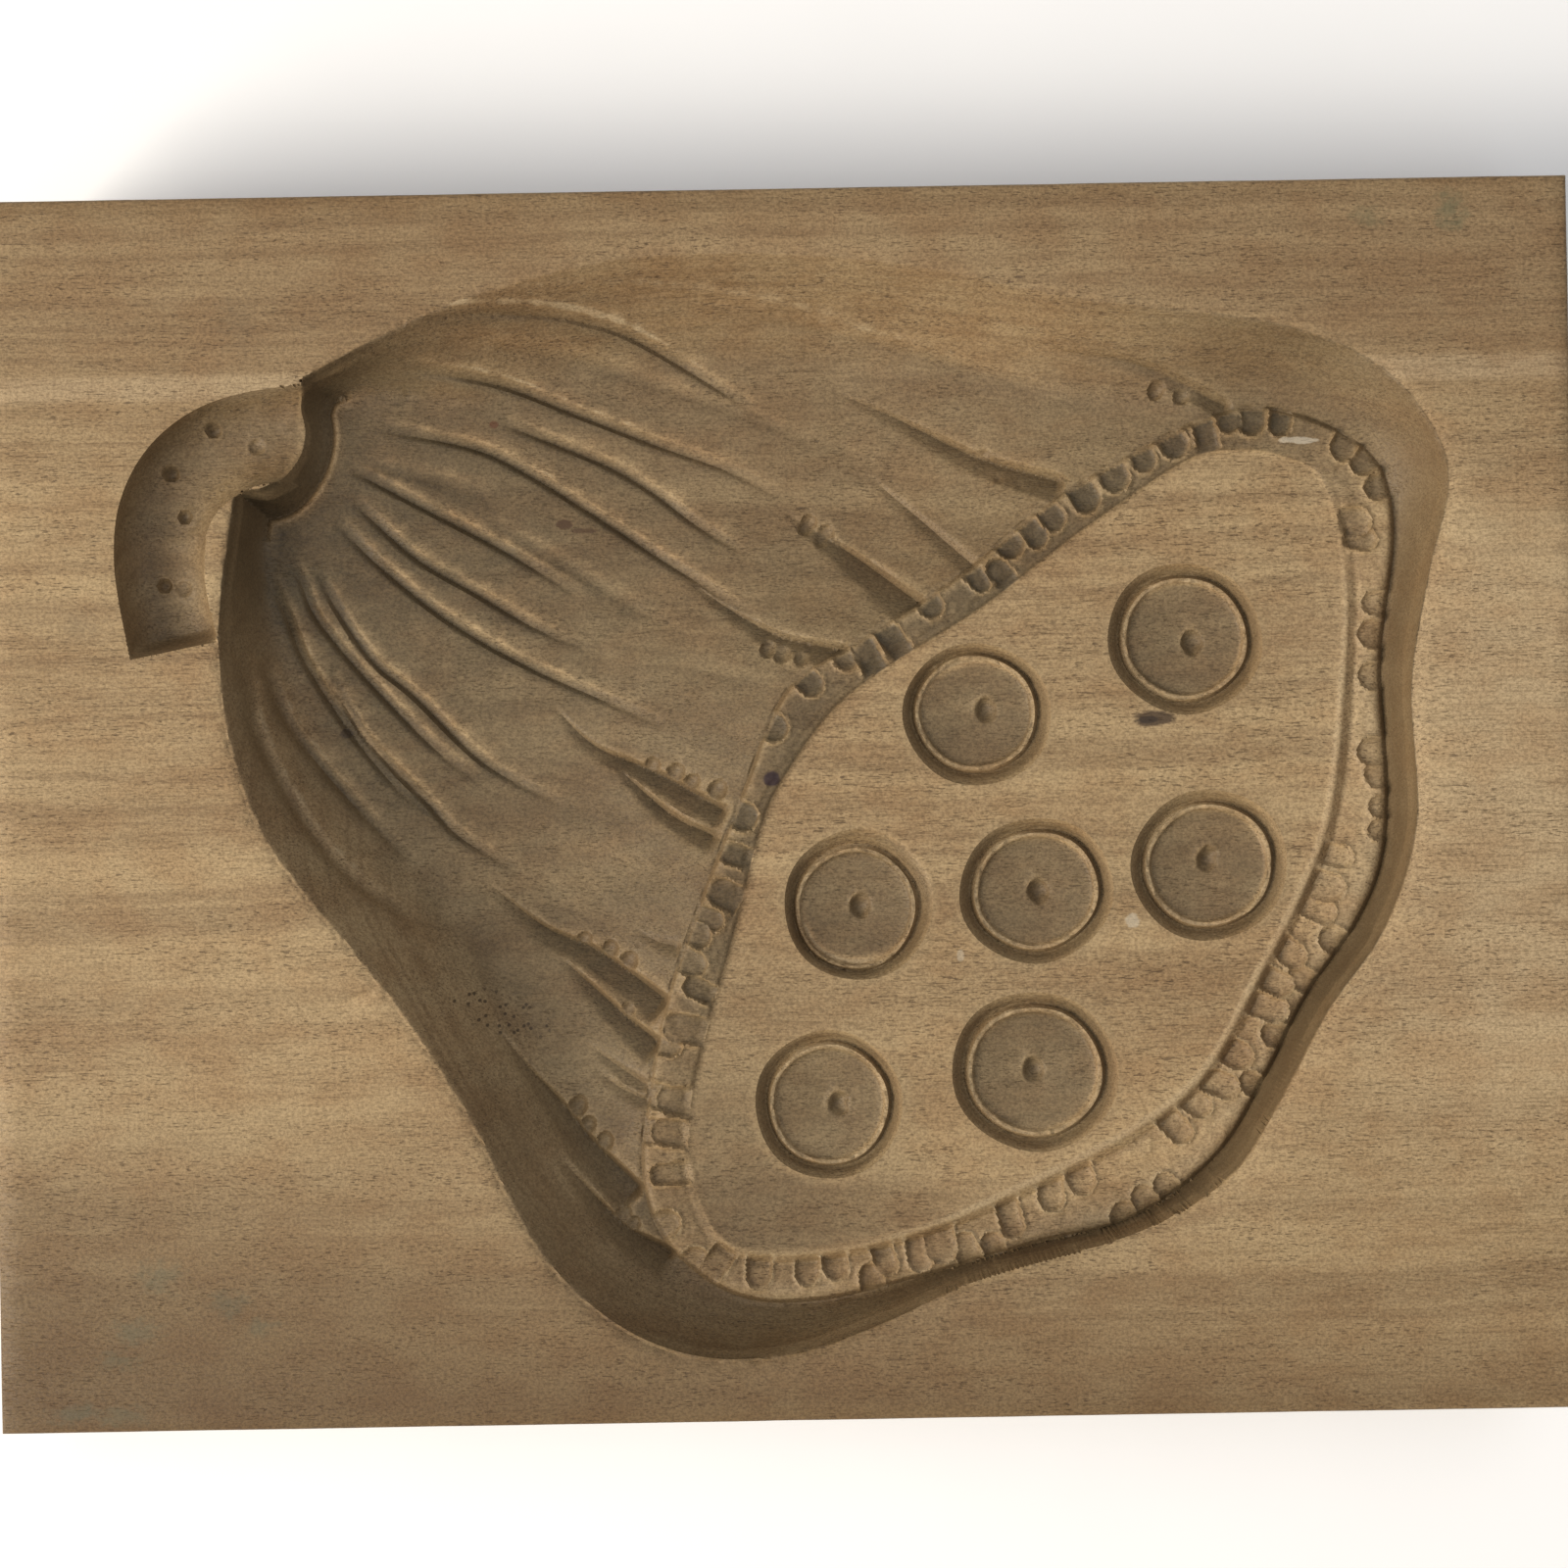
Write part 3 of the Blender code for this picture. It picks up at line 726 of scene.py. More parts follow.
neck_line = evenly(POD_OUTLINE, 0.45, closed=True)
neck_line = neck_line[np.hypot(neck_line[:, 0] - NECK[0], neck_line[:, 1] - NECK[1]) < NECK_RADIUS + 3]
neck_rows = [shifted(neck_line, offset) for offset in NECK_ROWS]
layers.insert(0, np.vstack(stem_rows + neck_rows))
fine = np.vstack(layers)


def square_patch(step, x, y, reach):
    """A honeycomb in the square that reaches that far to each side of a place."""
    return honeycomb(step, x - reach, x + reach, y - reach, y + reach)


def small_patches():
    """Honeycombs of half a millimetre on the rim band and at each thumbnail cut and prick."""
    band = honeycomb(0.55, -34, 132, -106, 82)
    away = beside(band, rim_line, closed=True)[0]
    band = band[(away > 0.7) & (away < 16)]
    band = band[beside(band, face_line, closed=True)[0] < -1.6]
    patches = [band]
    patches += [square_patch(0.45, x, y, 2.8) for x, y in THUMBNAILS]
    patches += [square_patch(0.45, x, y, radius + 0.8) for x, y, radius, _ in STEM_PRICKS]
    patches += [square_patch(0.42, x, y, 3.4) for _, _, _, (x, y) in SEEDS]
    return np.vstack(patches)


patches = small_patches()
fine = np.vstack((clear_of(fine, patches[len(patches) // 2:], 0.3), patches))
fine = thinned(fine, 0.24)
body_fill = clear_of(honeycomb(1.35), fine, 0.95)
body_fill = body_fill[inside(body_fill, pod_line, POD_MIDDLE)]
fine = np.vstack((fine, body_fill))
board = (-LENGTH / 2 + 4, LENGTH / 2 - 4, -WIDTH / 2 + 4, WIDTH / 2 - 4)
plan = np.vstack((fine, clear_of(honeycomb(4.5, *board), fine, 2.6)))
on_board = (np.abs(plan[:, 0]) < LENGTH / 2 - 2.2) & (np.abs(plan[:, 1]) < WIDTH / 2 - 2.2)
plan = plan[on_board]
print("points laid on the face:", len(plan))

# %% [markdown]
# ## The plank round the carving
#
# The plank's edge is a section carried round its four sides: the face is eased over, the sawn side goes
# down with a slight wander, and the flat back closes the shape. The face, the sides and the back share
# their points where they meet, so the plank is one closed skin.

# %% The perimeter and its section
EASING = 1.0
SIDE_STEP = 3.0
SAW_WANDER = 0.12
section = [(EASING * (1 - sin(radians(a))), THICKNESS - EASING * (1 - cos(radians(a)))) for a in (0, 30, 60)]
section += [(0.0, z) for z in np.linspace(THICKNESS - EASING, EASING, 9)]
section += [(EASING * (1 - cos(radians(a))), EASING * (1 - sin(radians(a)))) for a in (30, 60, 90)]


def perimeter(inset):
    """Places round the plank's rectangle, moved in by the inset, in anticlockwise order."""
    half = np.array((LENGTH / 2 - inset, WIDTH / 2 - inset))
    counts = (int(LENGTH / SIDE_STEP), int(WIDTH / SIDE_STEP)) * 2
    corners = np.array(((-1, -1), (1, -1), (1, 1), (-1, 1))) * half
    sides = [a + (b - a) * (np.arange(n) / n)[:, None]
             for a, b, n in zip(corners, np.roll(corners, -1, 0), counts)]
    return np.vstack(sides)


def sawn(ring, inset, z):
    """One ring of the skin at height z, moved inwards by the saw's wander, up to a quarter of a
    millimetre on the sides and less on the eased edges."""
    saw = SAW_WANDER * (1 + wander(ring[:, 0] + 0.7 * ring[:, 1], np.full(len(ring), z), 9, 51))
    on_side = 1 if EASING <= z <= THICKNESS - EASING else 0.4
    at_border = np.abs(ring) > np.array((LENGTH / 2, WIDTH / 2)) - inset - 0.01
    moved = ring - on_side * saw[:, None] * np.sign(ring) * at_border
    return np.column_stack((moved, np.full(len(ring), z)))


rings = [sawn(perimeter(inset), inset, z) for inset, z in section]
print("places round the plank:", len(rings[0]))

# %% Joining face, sides and back into one mesh
def triangulated(points, border_count):
    """Delaunay triangles over points whose first ones are the border, anticlockwise."""
    border = [(k, (k + 1) % border_count) for k in range(border_count)]
    verts, _, faces, *_ = delaunay_2d_cdt(points.tolist(), border, [], 0, 1e-6, False)
    return np.array([tuple(v) for v in verts]), np.array(faces)


def plank_mesh():
    """The closed skin of the plank as points and faces: the face's triangles, the sides' quadrilaterals
    and the back's triangles, which are turned over to face down."""
    count = len(rings[0])
    top, top_faces = triangulated(np.vstack((rings[0][:, :2], plan)), count)
    z = THICKNESS - carved(top)
    z[:count] = rings[0][:, 2]
    top = np.column_stack((top, z))
    verts = [top]
    faces = [tuple(face) for face in top_faces]
    before = np.arange(count)
    total = len(top)
    for ring in rings[1:]:
        now = total + np.arange(count)
        quads = np.stack((before, now, np.roll(now, -1), np.roll(before, -1)), axis=1)
        faces += [tuple(quad) for quad in quads]
        verts.append(ring)
        before, total = now, total + count
    loose = honeycomb(9, -LENGTH / 2 + 6, LENGTH / 2 - 6, -WIDTH / 2 + 6, WIDTH / 2 - 6)
    back, back_faces = triangulated(np.vstack((rings[-1][:, :2], loose)), count)
    renumber = np.concatenate((before, total + np.arange(len(back) - count)))
    faces += [tuple(face) for face in renumber[back_faces][:, ::-1]]
    verts.append(np.column_stack((back[count:], np.zeros(len(back) - count))))
    return np.vstack(verts), faces


points, faces = plank_mesh()
mesh = bpy.data.meshes.new("carved_plank")
mesh.from_pydata((points * MM).tolist(), [], faces)
mesh.update()
mesh.validate()
plank = bpy.data.objects.new("carved_plank", mesh)
bpy.context.scene.collection.objects.link(plank)
mesh.shade_smooth()
mesh.set_sharp_from_angle(angle=radians(40))
print("triangles:", sum(len(face) - 2 for face in faces))

# %% [markdown]
# ## Painted shade in the hollows, and pale edges
#
# Shade is painted into the carving where it is hollow, and the carving is made paler where it stands proud.
# Both follow from the carving itself: the depth is drawn on a raster and blurred at several sizes, and
# where the true depth is greater than its blur the place is a hollow. The shares are stored on the mesh
# as attributes for the material to read.

# %% Blurred depth and the mesh's attributes
RASTER = 1.5
NARROW = 1.6
BROAD = 5.0
DEEPEST = 25.0


def blurred(image, size):
    """The image with a Gaussian of that width in millimetres, by multiplying its Fourier transform."""
    fx = np.fft.fftfreq(image.shape[0], RASTER)[:, None]
    fy = np.fft.fftfreq(image.shape[1], RASTER)[None, :]
    return np.fft.ifft2(np.fft.fft2(image) * np.exp(-2 * (pi * size) ** 2 * (fx**2 + fy**2))).real


def sampled(image, x, y):
    """The image's values at places on the plank, blended between the four nearest raster points."""
    u = np.clip((x + LENGTH / 2) / RASTER, 0, image.shape[0] - 1.001)
    v = np.clip((y + WIDTH / 2) / RASTER, 0, image.shape[1] - 1.001)
    i, j = u.astype(int), v.astype(int)
    s, t = u - i, v - j
    return ((image[i, j] * (1 - s) + image[i + 1, j] * s) * (1 - t)
            + (image[i, j + 1] * (1 - s) + image[i + 1, j + 1] * s) * t)


grid_x = np.arange(-LENGTH / 2, LENGTH / 2 + RASTER, RASTER)
grid_y = np.arange(-WIDTH / 2, WIDTH / 2 + RASTER, RASTER)
grid = np.stack(np.meshgrid(grid_x, grid_y, indexing="ij"), axis=-1)
relief = carved(grid.reshape(-1, 2)).reshape(grid.shape[:2])
count = len(mesh.vertices)
place = np.empty(count * 3, np.float32)
mesh.vertices.foreach_get("co", place)
place = place.reshape(-1, 3) / MM
depth_here = np.where(place[:, 2] > THICKNESS - DEEPEST, THICKNESS - place[:, 2], 0)
hollows = {size: depth_here - sampled(blurred(relief, size), place[:, 0], place[:, 1])
           for size in (NARROW, BROAD)}
carved_away = depth_here > 0.3


# %% [markdown]
# How much oil and painted shade a place holds is written down region by region, with painted highlights
# as amounts below nothing. The discs and the right walls of the pits are dark and the pits' crests carry
# a painted highlight; the rim band is dark at its upper left; the body is dark near the neck, and its wall,
# its upper side and the crests of the veins are pale.

# %% Oil, painted shade and painted highlights on the seed face, on the rim band, in the body and in its folds
FACE_CORNER = (-18.0, -85.0)
HIGHLIGHT_CREST = 0.785


def oil_and_painted_light_on_face(points):
    """Oil and painted shade on the seed face, and a painted highlight on the pits' crests. A pit's wall
    holds 0.24 on the left and 0.60 on the right, its disc 0.64 and 0.66, and its crest 0.75 less.
    Outside the pits a painted shadow thins out from the face's lowest corner."""
    x, y = points[:, 0], points[:, 1]
    shares = np.array([np.hypot((x - c[0]) / h[0], (y - c[1]) / h[1]) for c, h, _, _ in SEEDS])
    share = shares.min(axis=0)
    middle = np.array([c[0] for c, _, _, _ in SEEDS])[shares.argmin(axis=0)]
    right = ramp(x - middle, -4, 12)
    pits = (0.24 + 0.36 * right) * (1 - ramp(share, 0.93, 1.0))
    pits += (0.40 - 0.34 * right) * (1 - ramp(share, 0.70, 0.74))
    pits -= (0.75 + 0.35 * wander(x, y, 2.4, 51)) * np.exp(-(((share - HIGHLIGHT_CREST) / 0.032) ** 4))
    from_corner = np.hypot(x - FACE_CORNER[0], y - FACE_CORNER[1])
    return np.where(share < 1, pits, 0.55 * (1 - ramp(from_corner, 5, 70)))


def oil_and_painted_light_on_band(points, rim):
    """Oil and painted shade on the rim band, from 0.76 at its upper left to nothing at its lower right:
    more in the cuts, and less, a painted highlight, on their burrs and along the band's outer edge."""
    across = (points[:, 0] - points[:, 1]) / 2**0.5
    cuts = rim_cuts(points)
    in_cuts = np.clip(cuts / 1.2, 0, 1)
    burrs = np.clip(-cuts / 0.4, 0, 1)
    upper = ramp(points[:, 1], -30, 15) * (1 - ramp(across, 40, 90))
    oil_shade_and_highlight = 0.76 - 0.76 * ramp(across, 0, 75) - 0.4 * burrs + (0.08 + 0.4 * upper) * in_cuts
    return oil_shade_and_highlight - 0.5 * ramp(across, 15, 70) * np.clip(1 - rim / 8, 0, 1) * (1 - 0.7 * in_cuts)


def oil_and_painted_light_in_body(points, edge):
    """Oil and painted shade in the body: 0.66, more to the right and near the neck, less high up and on
    the wall, and much less, a painted highlight, on the ridge at the foot of the neck's wall."""
    x, y = points[:, 0], points[:, 1]
    high = ramp(y + 0.25 * x, 15, 85)
    from_neck = np.hypot(x - NECK[0], y - NECK[1])
    oil_shade_and_highlight = 0.66 + 0.16 * ramp(x, 20, 90) - 0.25 * high + 0.26 * (1 - ramp(from_neck, 15, 100))
    in_wall = (1 - ramp(np.abs(edge), 8, 22)) * ramp(from_neck, 25, 50)
    oil_shade_and_highlight -= in_wall * (0.6 - 0.15 * ramp(x, -90, -50) - 0.4 * ramp(x, 50, 110))
    ridge = np.exp(-(((edge - NECK_WALL_WIDTH - 1.2) / 0.9) ** 2)) * (1 - ramp(from_neck, 14, 24))
    return oil_shade_and_highlight - 0.9 * ridge


def painted_light_in_folds(points):
    """Extra painted shade in the folds: up to 0.28 on the pleats' slopes and 0.34 in the veins' cuts,
    less a painted highlight of about 0.65 on the veins' torn crests."""
    oil_shade_and_highlight = np.zeros(len(points))
    for line, width, full in PLEATS:
        left, along = beside(points, evenly(line, 2.0))
        length = np.linalg.norm(np.diff(line, axis=0), axis=1).sum()
        reach = width * np.clip(along / length, 1e-3, 1) ** 0.7 + 0.3
        slope = np.clip(1 + left / reach, 0, 1) ** 0.6 * (left < 0.2) * ramp(along, 0, 0.5 * length)
        oil_shade_and_highlight = np.maximum(oil_shade_and_highlight, 0.28 * slope * np.clip(full / 2.4, 0, 1))
    torn = 0.65 + 0.5 * wander(points[:, 0], points[:, 1], 1.6, 52)
    for line, full in [(v, 1.0) for v in VEINS] + [(v, 0.4) for v in FAINT_VEINS]:
        left, taper = vein_place(points, evenly(line, 2.0))
        in_cut = 0.34 * np.exp(-(((left + 0.7) / 1.2) ** 2))
        on_crest = torn * np.exp(-(((left - 2.2) / 0.65) ** 2))
        oil_shade_and_highlight += full * taper * (in_cut - on_crest)
    return oil_shade_and_highlight


def oil_and_painted_light(points):
    """How much oil and painted shade the wood holds at places on the plan, about -1 (painted highlight)
    to 1 (dark): each region's own amount, less half, a painted highlight, on the rounded lower right
    edge of the seed face, and in the stem painted shade that grows with the depth."""
    x, y = points[:, 0], points[:, 1]
    in_pod = inside(points, pod_line, POD_MIDDLE)
    edge, rim, face = (beside(points, line, closed=True)[0] for line in (pod_line, rim_line, face_line))
    oil_shade_and_highlight = oil_and_painted_light_in_body(points, edge)
    in_body = in_pod & (rim < 1)
    oil_shade_and_highlight[in_body] += painted_light_in_folds(points[in_body])
    oil_shade_and_highlight = np.where(rim > 1, np.where(face < 0, oil_and_painted_light_on_band(points, rim), oil_and_painted_light_on_face(points)), oil_shade_and_highlight)
    rounded = ramp((x - y) / 2**0.5, 25, 80) * np.exp(-(((face - 0.3) / 0.9) ** 2))
    near_stem = (x < STEM_RIGHT) & (y > STEM_BOTTOM) & (y < STEM_TOP)
    in_stem = 0.45 * np.clip(stem_depth(points) / STEM_DEPTH, 0, 1) * near_stem
    return np.where(in_pod, oil_shade_and_highlight - 0.5 * rounded, in_stem)


# %% The attributes that the material reads
attributes = {
    # Oil with painted shade darkens the wood; below nothing it is a painted highlight.
    "oil_and_painted_light": oil_and_painted_light(place[:, :2].astype(float)).clip(-1, 1) * carved_away,
    # Painted shade in the narrow crevices and the broad hollows; below nothing, a paler tone on proud
    # ridges.
    "crevice": np.clip(hollows[NARROW] / 1.2, -1, 1) * carved_away,
    "hollow": np.clip(hollows[BROAD] / 3.5, -1, 1) * carved_away,
    "sunk": ramp(depth_here, 1.5, 4.0),
}
for name, values in attributes.items():
    layer = mesh.attributes.new(name, "FLOAT", "POINT")
    layer.data.foreach_set("value", values.astype(np.float32))
    print(name, "from", round(float(values.min()), 2), "to", round(float(values.max()), 2))

# %% [markdown]
# ## Wood
#
# The wood is a pale, fine-pored hardwood such as beech, sawn flat, cut with steel and oiled by use. The
# finish is built from growth rings about a pith that lay well below the plank, fine streaks of fibre,
# pores as short dark dashes along the grain, and then stains, wear, oil, painted shade and painted
# highlights on top. The patterns are solid, in all three directions, so the end grain shows dots and arcs
# where the face shows dashes and bands.

# %% Nodes and colours
def linear(code):
    """An sRGB hex colour such as A58C6B as linear red, green, blue and 1."""
    parts = [int(code[k:k + 2], 16) / 255 for k in (0, 2, 4)]
    return [c / 12.92 if c <= 0.04045 else ((c + 0.055) / 1.055) ** 2.4 for c in parts] + [1]


def node(tree, kind, sockets=(), **settings):
    """Adds a node with its settings. Sockets maps an input's name or number to a value, or to the
    output that it is linked from."""
    made = tree.nodes.new(kind)
    for name, value in settings.items():
        setattr(made, name, value)
    for name, value in dict(sockets).items():
        if isinstance(value, bpy.types.NodeSocket):
            tree.links.new(value, made.inputs[name])
        else:
            made.inputs[name].default_value = value
    return made


# %% [markdown]
# The patterns are noises with real sizes: how long, wide and high their bumps are in millimetres. A short
# table of sums then makes the lines that follow the grain, such as the distance from the pith that the
# growth rings are drawn by, so that the face shows bands and the ends show arcs.

# %% The wood's patterns: size of the bumps, detail, roughness, and where in the noise they start
NOISES = {
    "bending": ((160, 45, 45), 2, 0.55, 0.0),
    "broad": ((150, 22, 22), 2, 0.55, 3.1),
    "streak": ((30, 1.6, 1.6), 3, 0.55, 1.7),
    "fibre": ((2.4, 0.45, 0.45), 3, 0.65, 5.3),
    "hair": ((9, 0.38, 0.38), 2, 0.6, 11.4),
    "pore": ((1.9, 0.30, 0.30), 1, 0.4, 9.2),
    "pore_bands": ((30, 8, 8), 1, 0.55, 4.4),
    "blot": ((7, 5, 5), 4, 0.7, 12.6),
    "speck": ((0.7, 0.6, 0.6), 4, 0.75, 6.1),
    "cloud": ((16, 9, 9), 3, 0.6, 8.8),
    "ragged": ((3.0, 2.0, 2.0), 4, 0.65, 7.7),
    "fuzz": ((0.8, 0.5, 0.5), 3, 0.6, 2.9),
}
RING_WIDTH = 3.2
PITH_BELOW_FACE = 130.0
PITH_Y = -60.0
PIN_HOLE_GAP = 2.2

wood = bpy.data.materials.new("oiled_beech")
wood.use_nodes = True
tree = wood.node_tree
shader = tree.nodes["Principled BSDF"]
coordinates = node(tree, "ShaderNodeTexCoord")
on_object = coordinates.outputs["Object"]
values = {}
for name, (size, detail, roughness, start) in NOISES.items():
    scaled = node(tree, "ShaderNodeMapping",
                  {"Vector": on_object, "Scale": [1 / (s * MM) for s in size],
                   "Location": (start, start * 2, start * 3)})
    noise = node(tree, "ShaderNodeTexNoise",
                 {"Vector": scaled.outputs[0], "Scale": 1.0, "Detail": detail, "Roughness": roughness})
    values[name] = noise.outputs["Fac"]
for name in attributes:
    values[name] = node(tree, "ShaderNodeAttribute", attribute_name=name).outputs["Fac"]
apart = node(tree, "ShaderNodeSeparateXYZ", {0: on_object})
for name, socket in zip("xyz", apart.outputs):
    values[name] = node(tree, "ShaderNodeMath", {0: socket, 1: 1 / MM}, operation="MULTIPLY").outputs[0]
facing = node(tree, "ShaderNodeSeparateXYZ", {0: coordinates.outputs["Normal"]})
values["along_grain"] = facing.outputs[0]
on_plan = node(tree, "ShaderNodeVectorMath", {0: on_object, 1: (1 / (PIN_HOLE_GAP * MM),) * 3},
               operation="MULTIPLY")
spots = node(tree, "ShaderNodeTexVoronoi", {"Vector": on_plan.outputs[0], "Scale": 1.0},
             voronoi_dimensions="2D")
values["spots"] = spots.outputs["Distance"]

# %% Smooth steps on them, from a low to a high amount as a value goes from a start to an end
RANGE = ("From Min", "From Max", "To Min", "To Max")
STEPS = (
    ("open", "pore", 0.60, 0.72, 0, 1),
    ("dense", "pore_bands", 0.35, 0.6, 0.35, 1),
    ("sheen", "fibre", 0.3, 0.7, 0.52, 0.68),
)
for name, value, *limits in STEPS:
    sockets = dict(zip(RANGE, limits), Value=values[value])
    values[name] = node(tree, "ShaderNodeMapRange", sockets, interpolation_type="SMOOTHSTEP").outputs[0]

# %% Sums on them: the name of the result, the operation, and its inputs
SUMS = (
    # Distance from the pith, which bends by a few millimetres along the plank, in ring widths.
    ("bend", "SUBTRACT", "bending", 0.5),
    ("bend", "MULTIPLY", "bend", 16.0),
    ("up", "SUBTRACT", "z", THICKNESS - PITH_BELOW_FACE),
    ("across", "SUBTRACT", "y", PITH_Y),
    ("across", "ADD", "across", "bend"),
    ("across", "MULTIPLY", "across", "across"),
    ("radius", "MULTIPLY_ADD", "up", "up", "across"),
    ("radius", "SQRT", "radius"),
    ("turns", "DIVIDE", "radius", RING_WIDTH),
    # Heights on the face that the upper and the lower bands, the pale line and the pale end go by.
    ("upper", "ADD", "y", "bend"),
    ("lower", "MULTIPLY_ADD", "x", 0.15, "y"),
    ("off_line", "SUBTRACT", "y", 87.0),
    ("off_line", "ABSOLUTE", "off_line"),
    ("off_middle", "ADD", "y", 5.0),
    ("off_middle", "ABSOLUTE", "off_middle"),
    ("end_grain", "ABSOLUTE", "along_grain"),
    # Oil with painted shade and highlights, blotchy where it is thick, and a little more of it in the broad
    # dark bands.
    ("blotchy", "SUBTRACT", "blot", 0.5),
    ("blotchy", "MULTIPLY_ADD", "blotchy", 0.7, 1.0),
    ("banded", "SUBTRACT", "broad", 0.5),
    ("banded", "MULTIPLY", "banded", 0.3),
    ("oil_shade_and_highlight", "MULTIPLY_ADD", "oil_and_painted_light", "blotchy", "banded"),
    ("tear", "SUBTRACT", "ragged", 0.5),
    # Pores, how strongly they show, and the fine relief of fibres, fuzz and open pores.
    ("pores", "MULTIPLY", "open", "dense"),
    ("seen_pores", "MULTIPLY", "pores", 0.7),
    ("relief", "MULTIPLY", "fibre", 0.5),
    ("relief", "MULTIPLY_ADD", "fuzz", 0.5, "relief"),
    ("relief", "MULTIPLY_ADD", "pores", -0.8, "relief"),
    # Distance from the middle of the pin holes' slanting patch, as a share of its half lengths.
    ("right", "ADD", "x", 60.0),
    ("above", "ADD", "y", 43.0),
    ("patch_u", "MULTIPLY_ADD", "above", -0.4, "right"),
    ("patch_u", "DIVIDE", "patch_u", 13.0),
    ("patch_u", "MULTIPLY", "patch_u", "patch_u"),
    ("patch_v", "MULTIPLY_ADD", "right", 0.4, "above"),
    ("patch_v", "DIVIDE", "patch_v", 5.0),
    ("off_patch", "MULTIPLY_ADD", "patch_v", "patch_v", "patch_u"),
    ("off_patch", "SQRT", "off_patch"),
)
for name, operation, *inputs in SUMS:
    sockets = {number: values.get(value, value) for number, value in enumerate(inputs)}
    values[name] = node(tree, "ShaderNodeMath", sockets, operation=operation).outputs[0]
ring_noise = node(tree, "ShaderNodeTexNoise",
                  {"W": values["turns"], "Scale": 1.0, "Detail": 3, "Roughness": 0.7},
                  noise_dimensions="1D")
values["rings"] = ring_noise.outputs["Fac"]

# %% [markdown]
# The colour is built up as a finisher would see it: bare wood first, then what time and use laid over it,
# and then shade and highlights painted where the light falls.
# Each layer is a colour and how strongly it shows. The strength is a product of smooth steps, each from
# a low to a high amount as some value goes from a start to an end.

# %% The wood's colours, laid over one another in this order
BARE_WOOD = "B0966D"
LAYERS = (
    # Broad bands, growth rings, streaks of fibre.
    ("9B805A", "MIX", ("broad", 0.35, 0.68, 0, 1)),
    ("795F3F", "MIX", ("rings", 0.42, 0.66, 0, 0.45)),
    ("7B613F", "MIX", ("streak", 0.45, 0.75, 0, 0.35)),
    ("B79E78", "MIX", ("fibre", 0.35, 0.7, 0, 0.4)),
    # Browner wood along both long edges, a pale line below the upper one, and a paler right end.
    ("7A6142", "MIX", ("upper", 60, 110, 0, 0.5)),
    ("6E583A", "MIX", ("lower", -55, -145, 0, 1)),
    ("B79F7B", "MIX", ("off_line", 1.4, 3.6, 0.55, 0), ("z", 34, 39, 0, 1)),
    ("C4AC86", "MIX", ("x", 95, 150, 0, 0.5), ("off_middle", 85, 40, 0, 1)),
    # Fine dark streaks, closer together in some bands than in others, and the pores.
    ("6F5839", "MIX", ("hair", 0.5, 0.68, 0, 1), ("broad", 0.3, 0.65, 0.15, 0.45)),
    ("4E3B27", "MIX", ("seen_pores",)),
    # Oil with painted shade in the hollows, painted highlights where that is less than none, painted shade
    # in the broad hollows and in the crevices, and a paler tone on proud ridges inside the carving.
    ("5A4C34", "MIX", ("oil_shade_and_highlight",), ("oil_and_painted_light", 0, 0.1, 0, 1)),
    ("B8A27E", "MIX", ("oil_and_painted_light", -0.04, -0.5, 0, 0.65)),
    ("5F5039", "MIX", ("hollow", 0.1, 0.8, 0, 0.2)),
    ("3F3322", "MIX", ("crevice", 0.12, 0.9, 0, 0.15)),
    ("A08863", "MIX", ("crevice", -0.10, -0.45, 0, 0.5), ("sunk",)),
    # Fuzz and old oil: specks of half a millimetre and clouds of a centimetre.
    ("8C8478", "MULTIPLY", ("speck", 0.38, 0.64, 0, 0.5)),
    ("CCA880", "MULTIPLY", ("cloud", 0.35, 0.7, 0, 0.3)),
    # End grain drinks more oil, so faces that look along the plank are darker.
    ("6A5438", "MIX", ("end_grain", 0.25, 1, 0, 0.45)),
    # A patch of insect pin holes.
    ("3A2C1B", "MIX", ("spots", 0.2, 0.12, 0, 0.8), ("off_patch", 1, 0.8, 0, 1)),
)

colour = linear(BARE_WOOD)
for code, mode, *steps in LAYERS:
    strength = 1.0
    for name, *limits in steps:
        step = values[name]
        if limits:
            sockets = dict(zip(RANGE, limits), Value=step)
            step = node(tree, "ShaderNodeMapRange", sockets, interpolation_type="SMOOTHSTEP").outputs[0]
        strength = node(tree, "ShaderNodeMath", {0: strength, 1: step}, operation="MULTIPLY").outputs[0]
    mixed = node(tree, "ShaderNodeMix", {0: strength, 6: colour, 7: linear(code)},
                 data_type="RGBA", blend_type=mode)
    colour = mixed.outputs[2]

# %% [markdown]
# The marks are local: an old knot beside one seed, a few small dark spots, grey-green stains near the
# corners and pale scuffs. Each is an ellipse whose border is torn by noise.

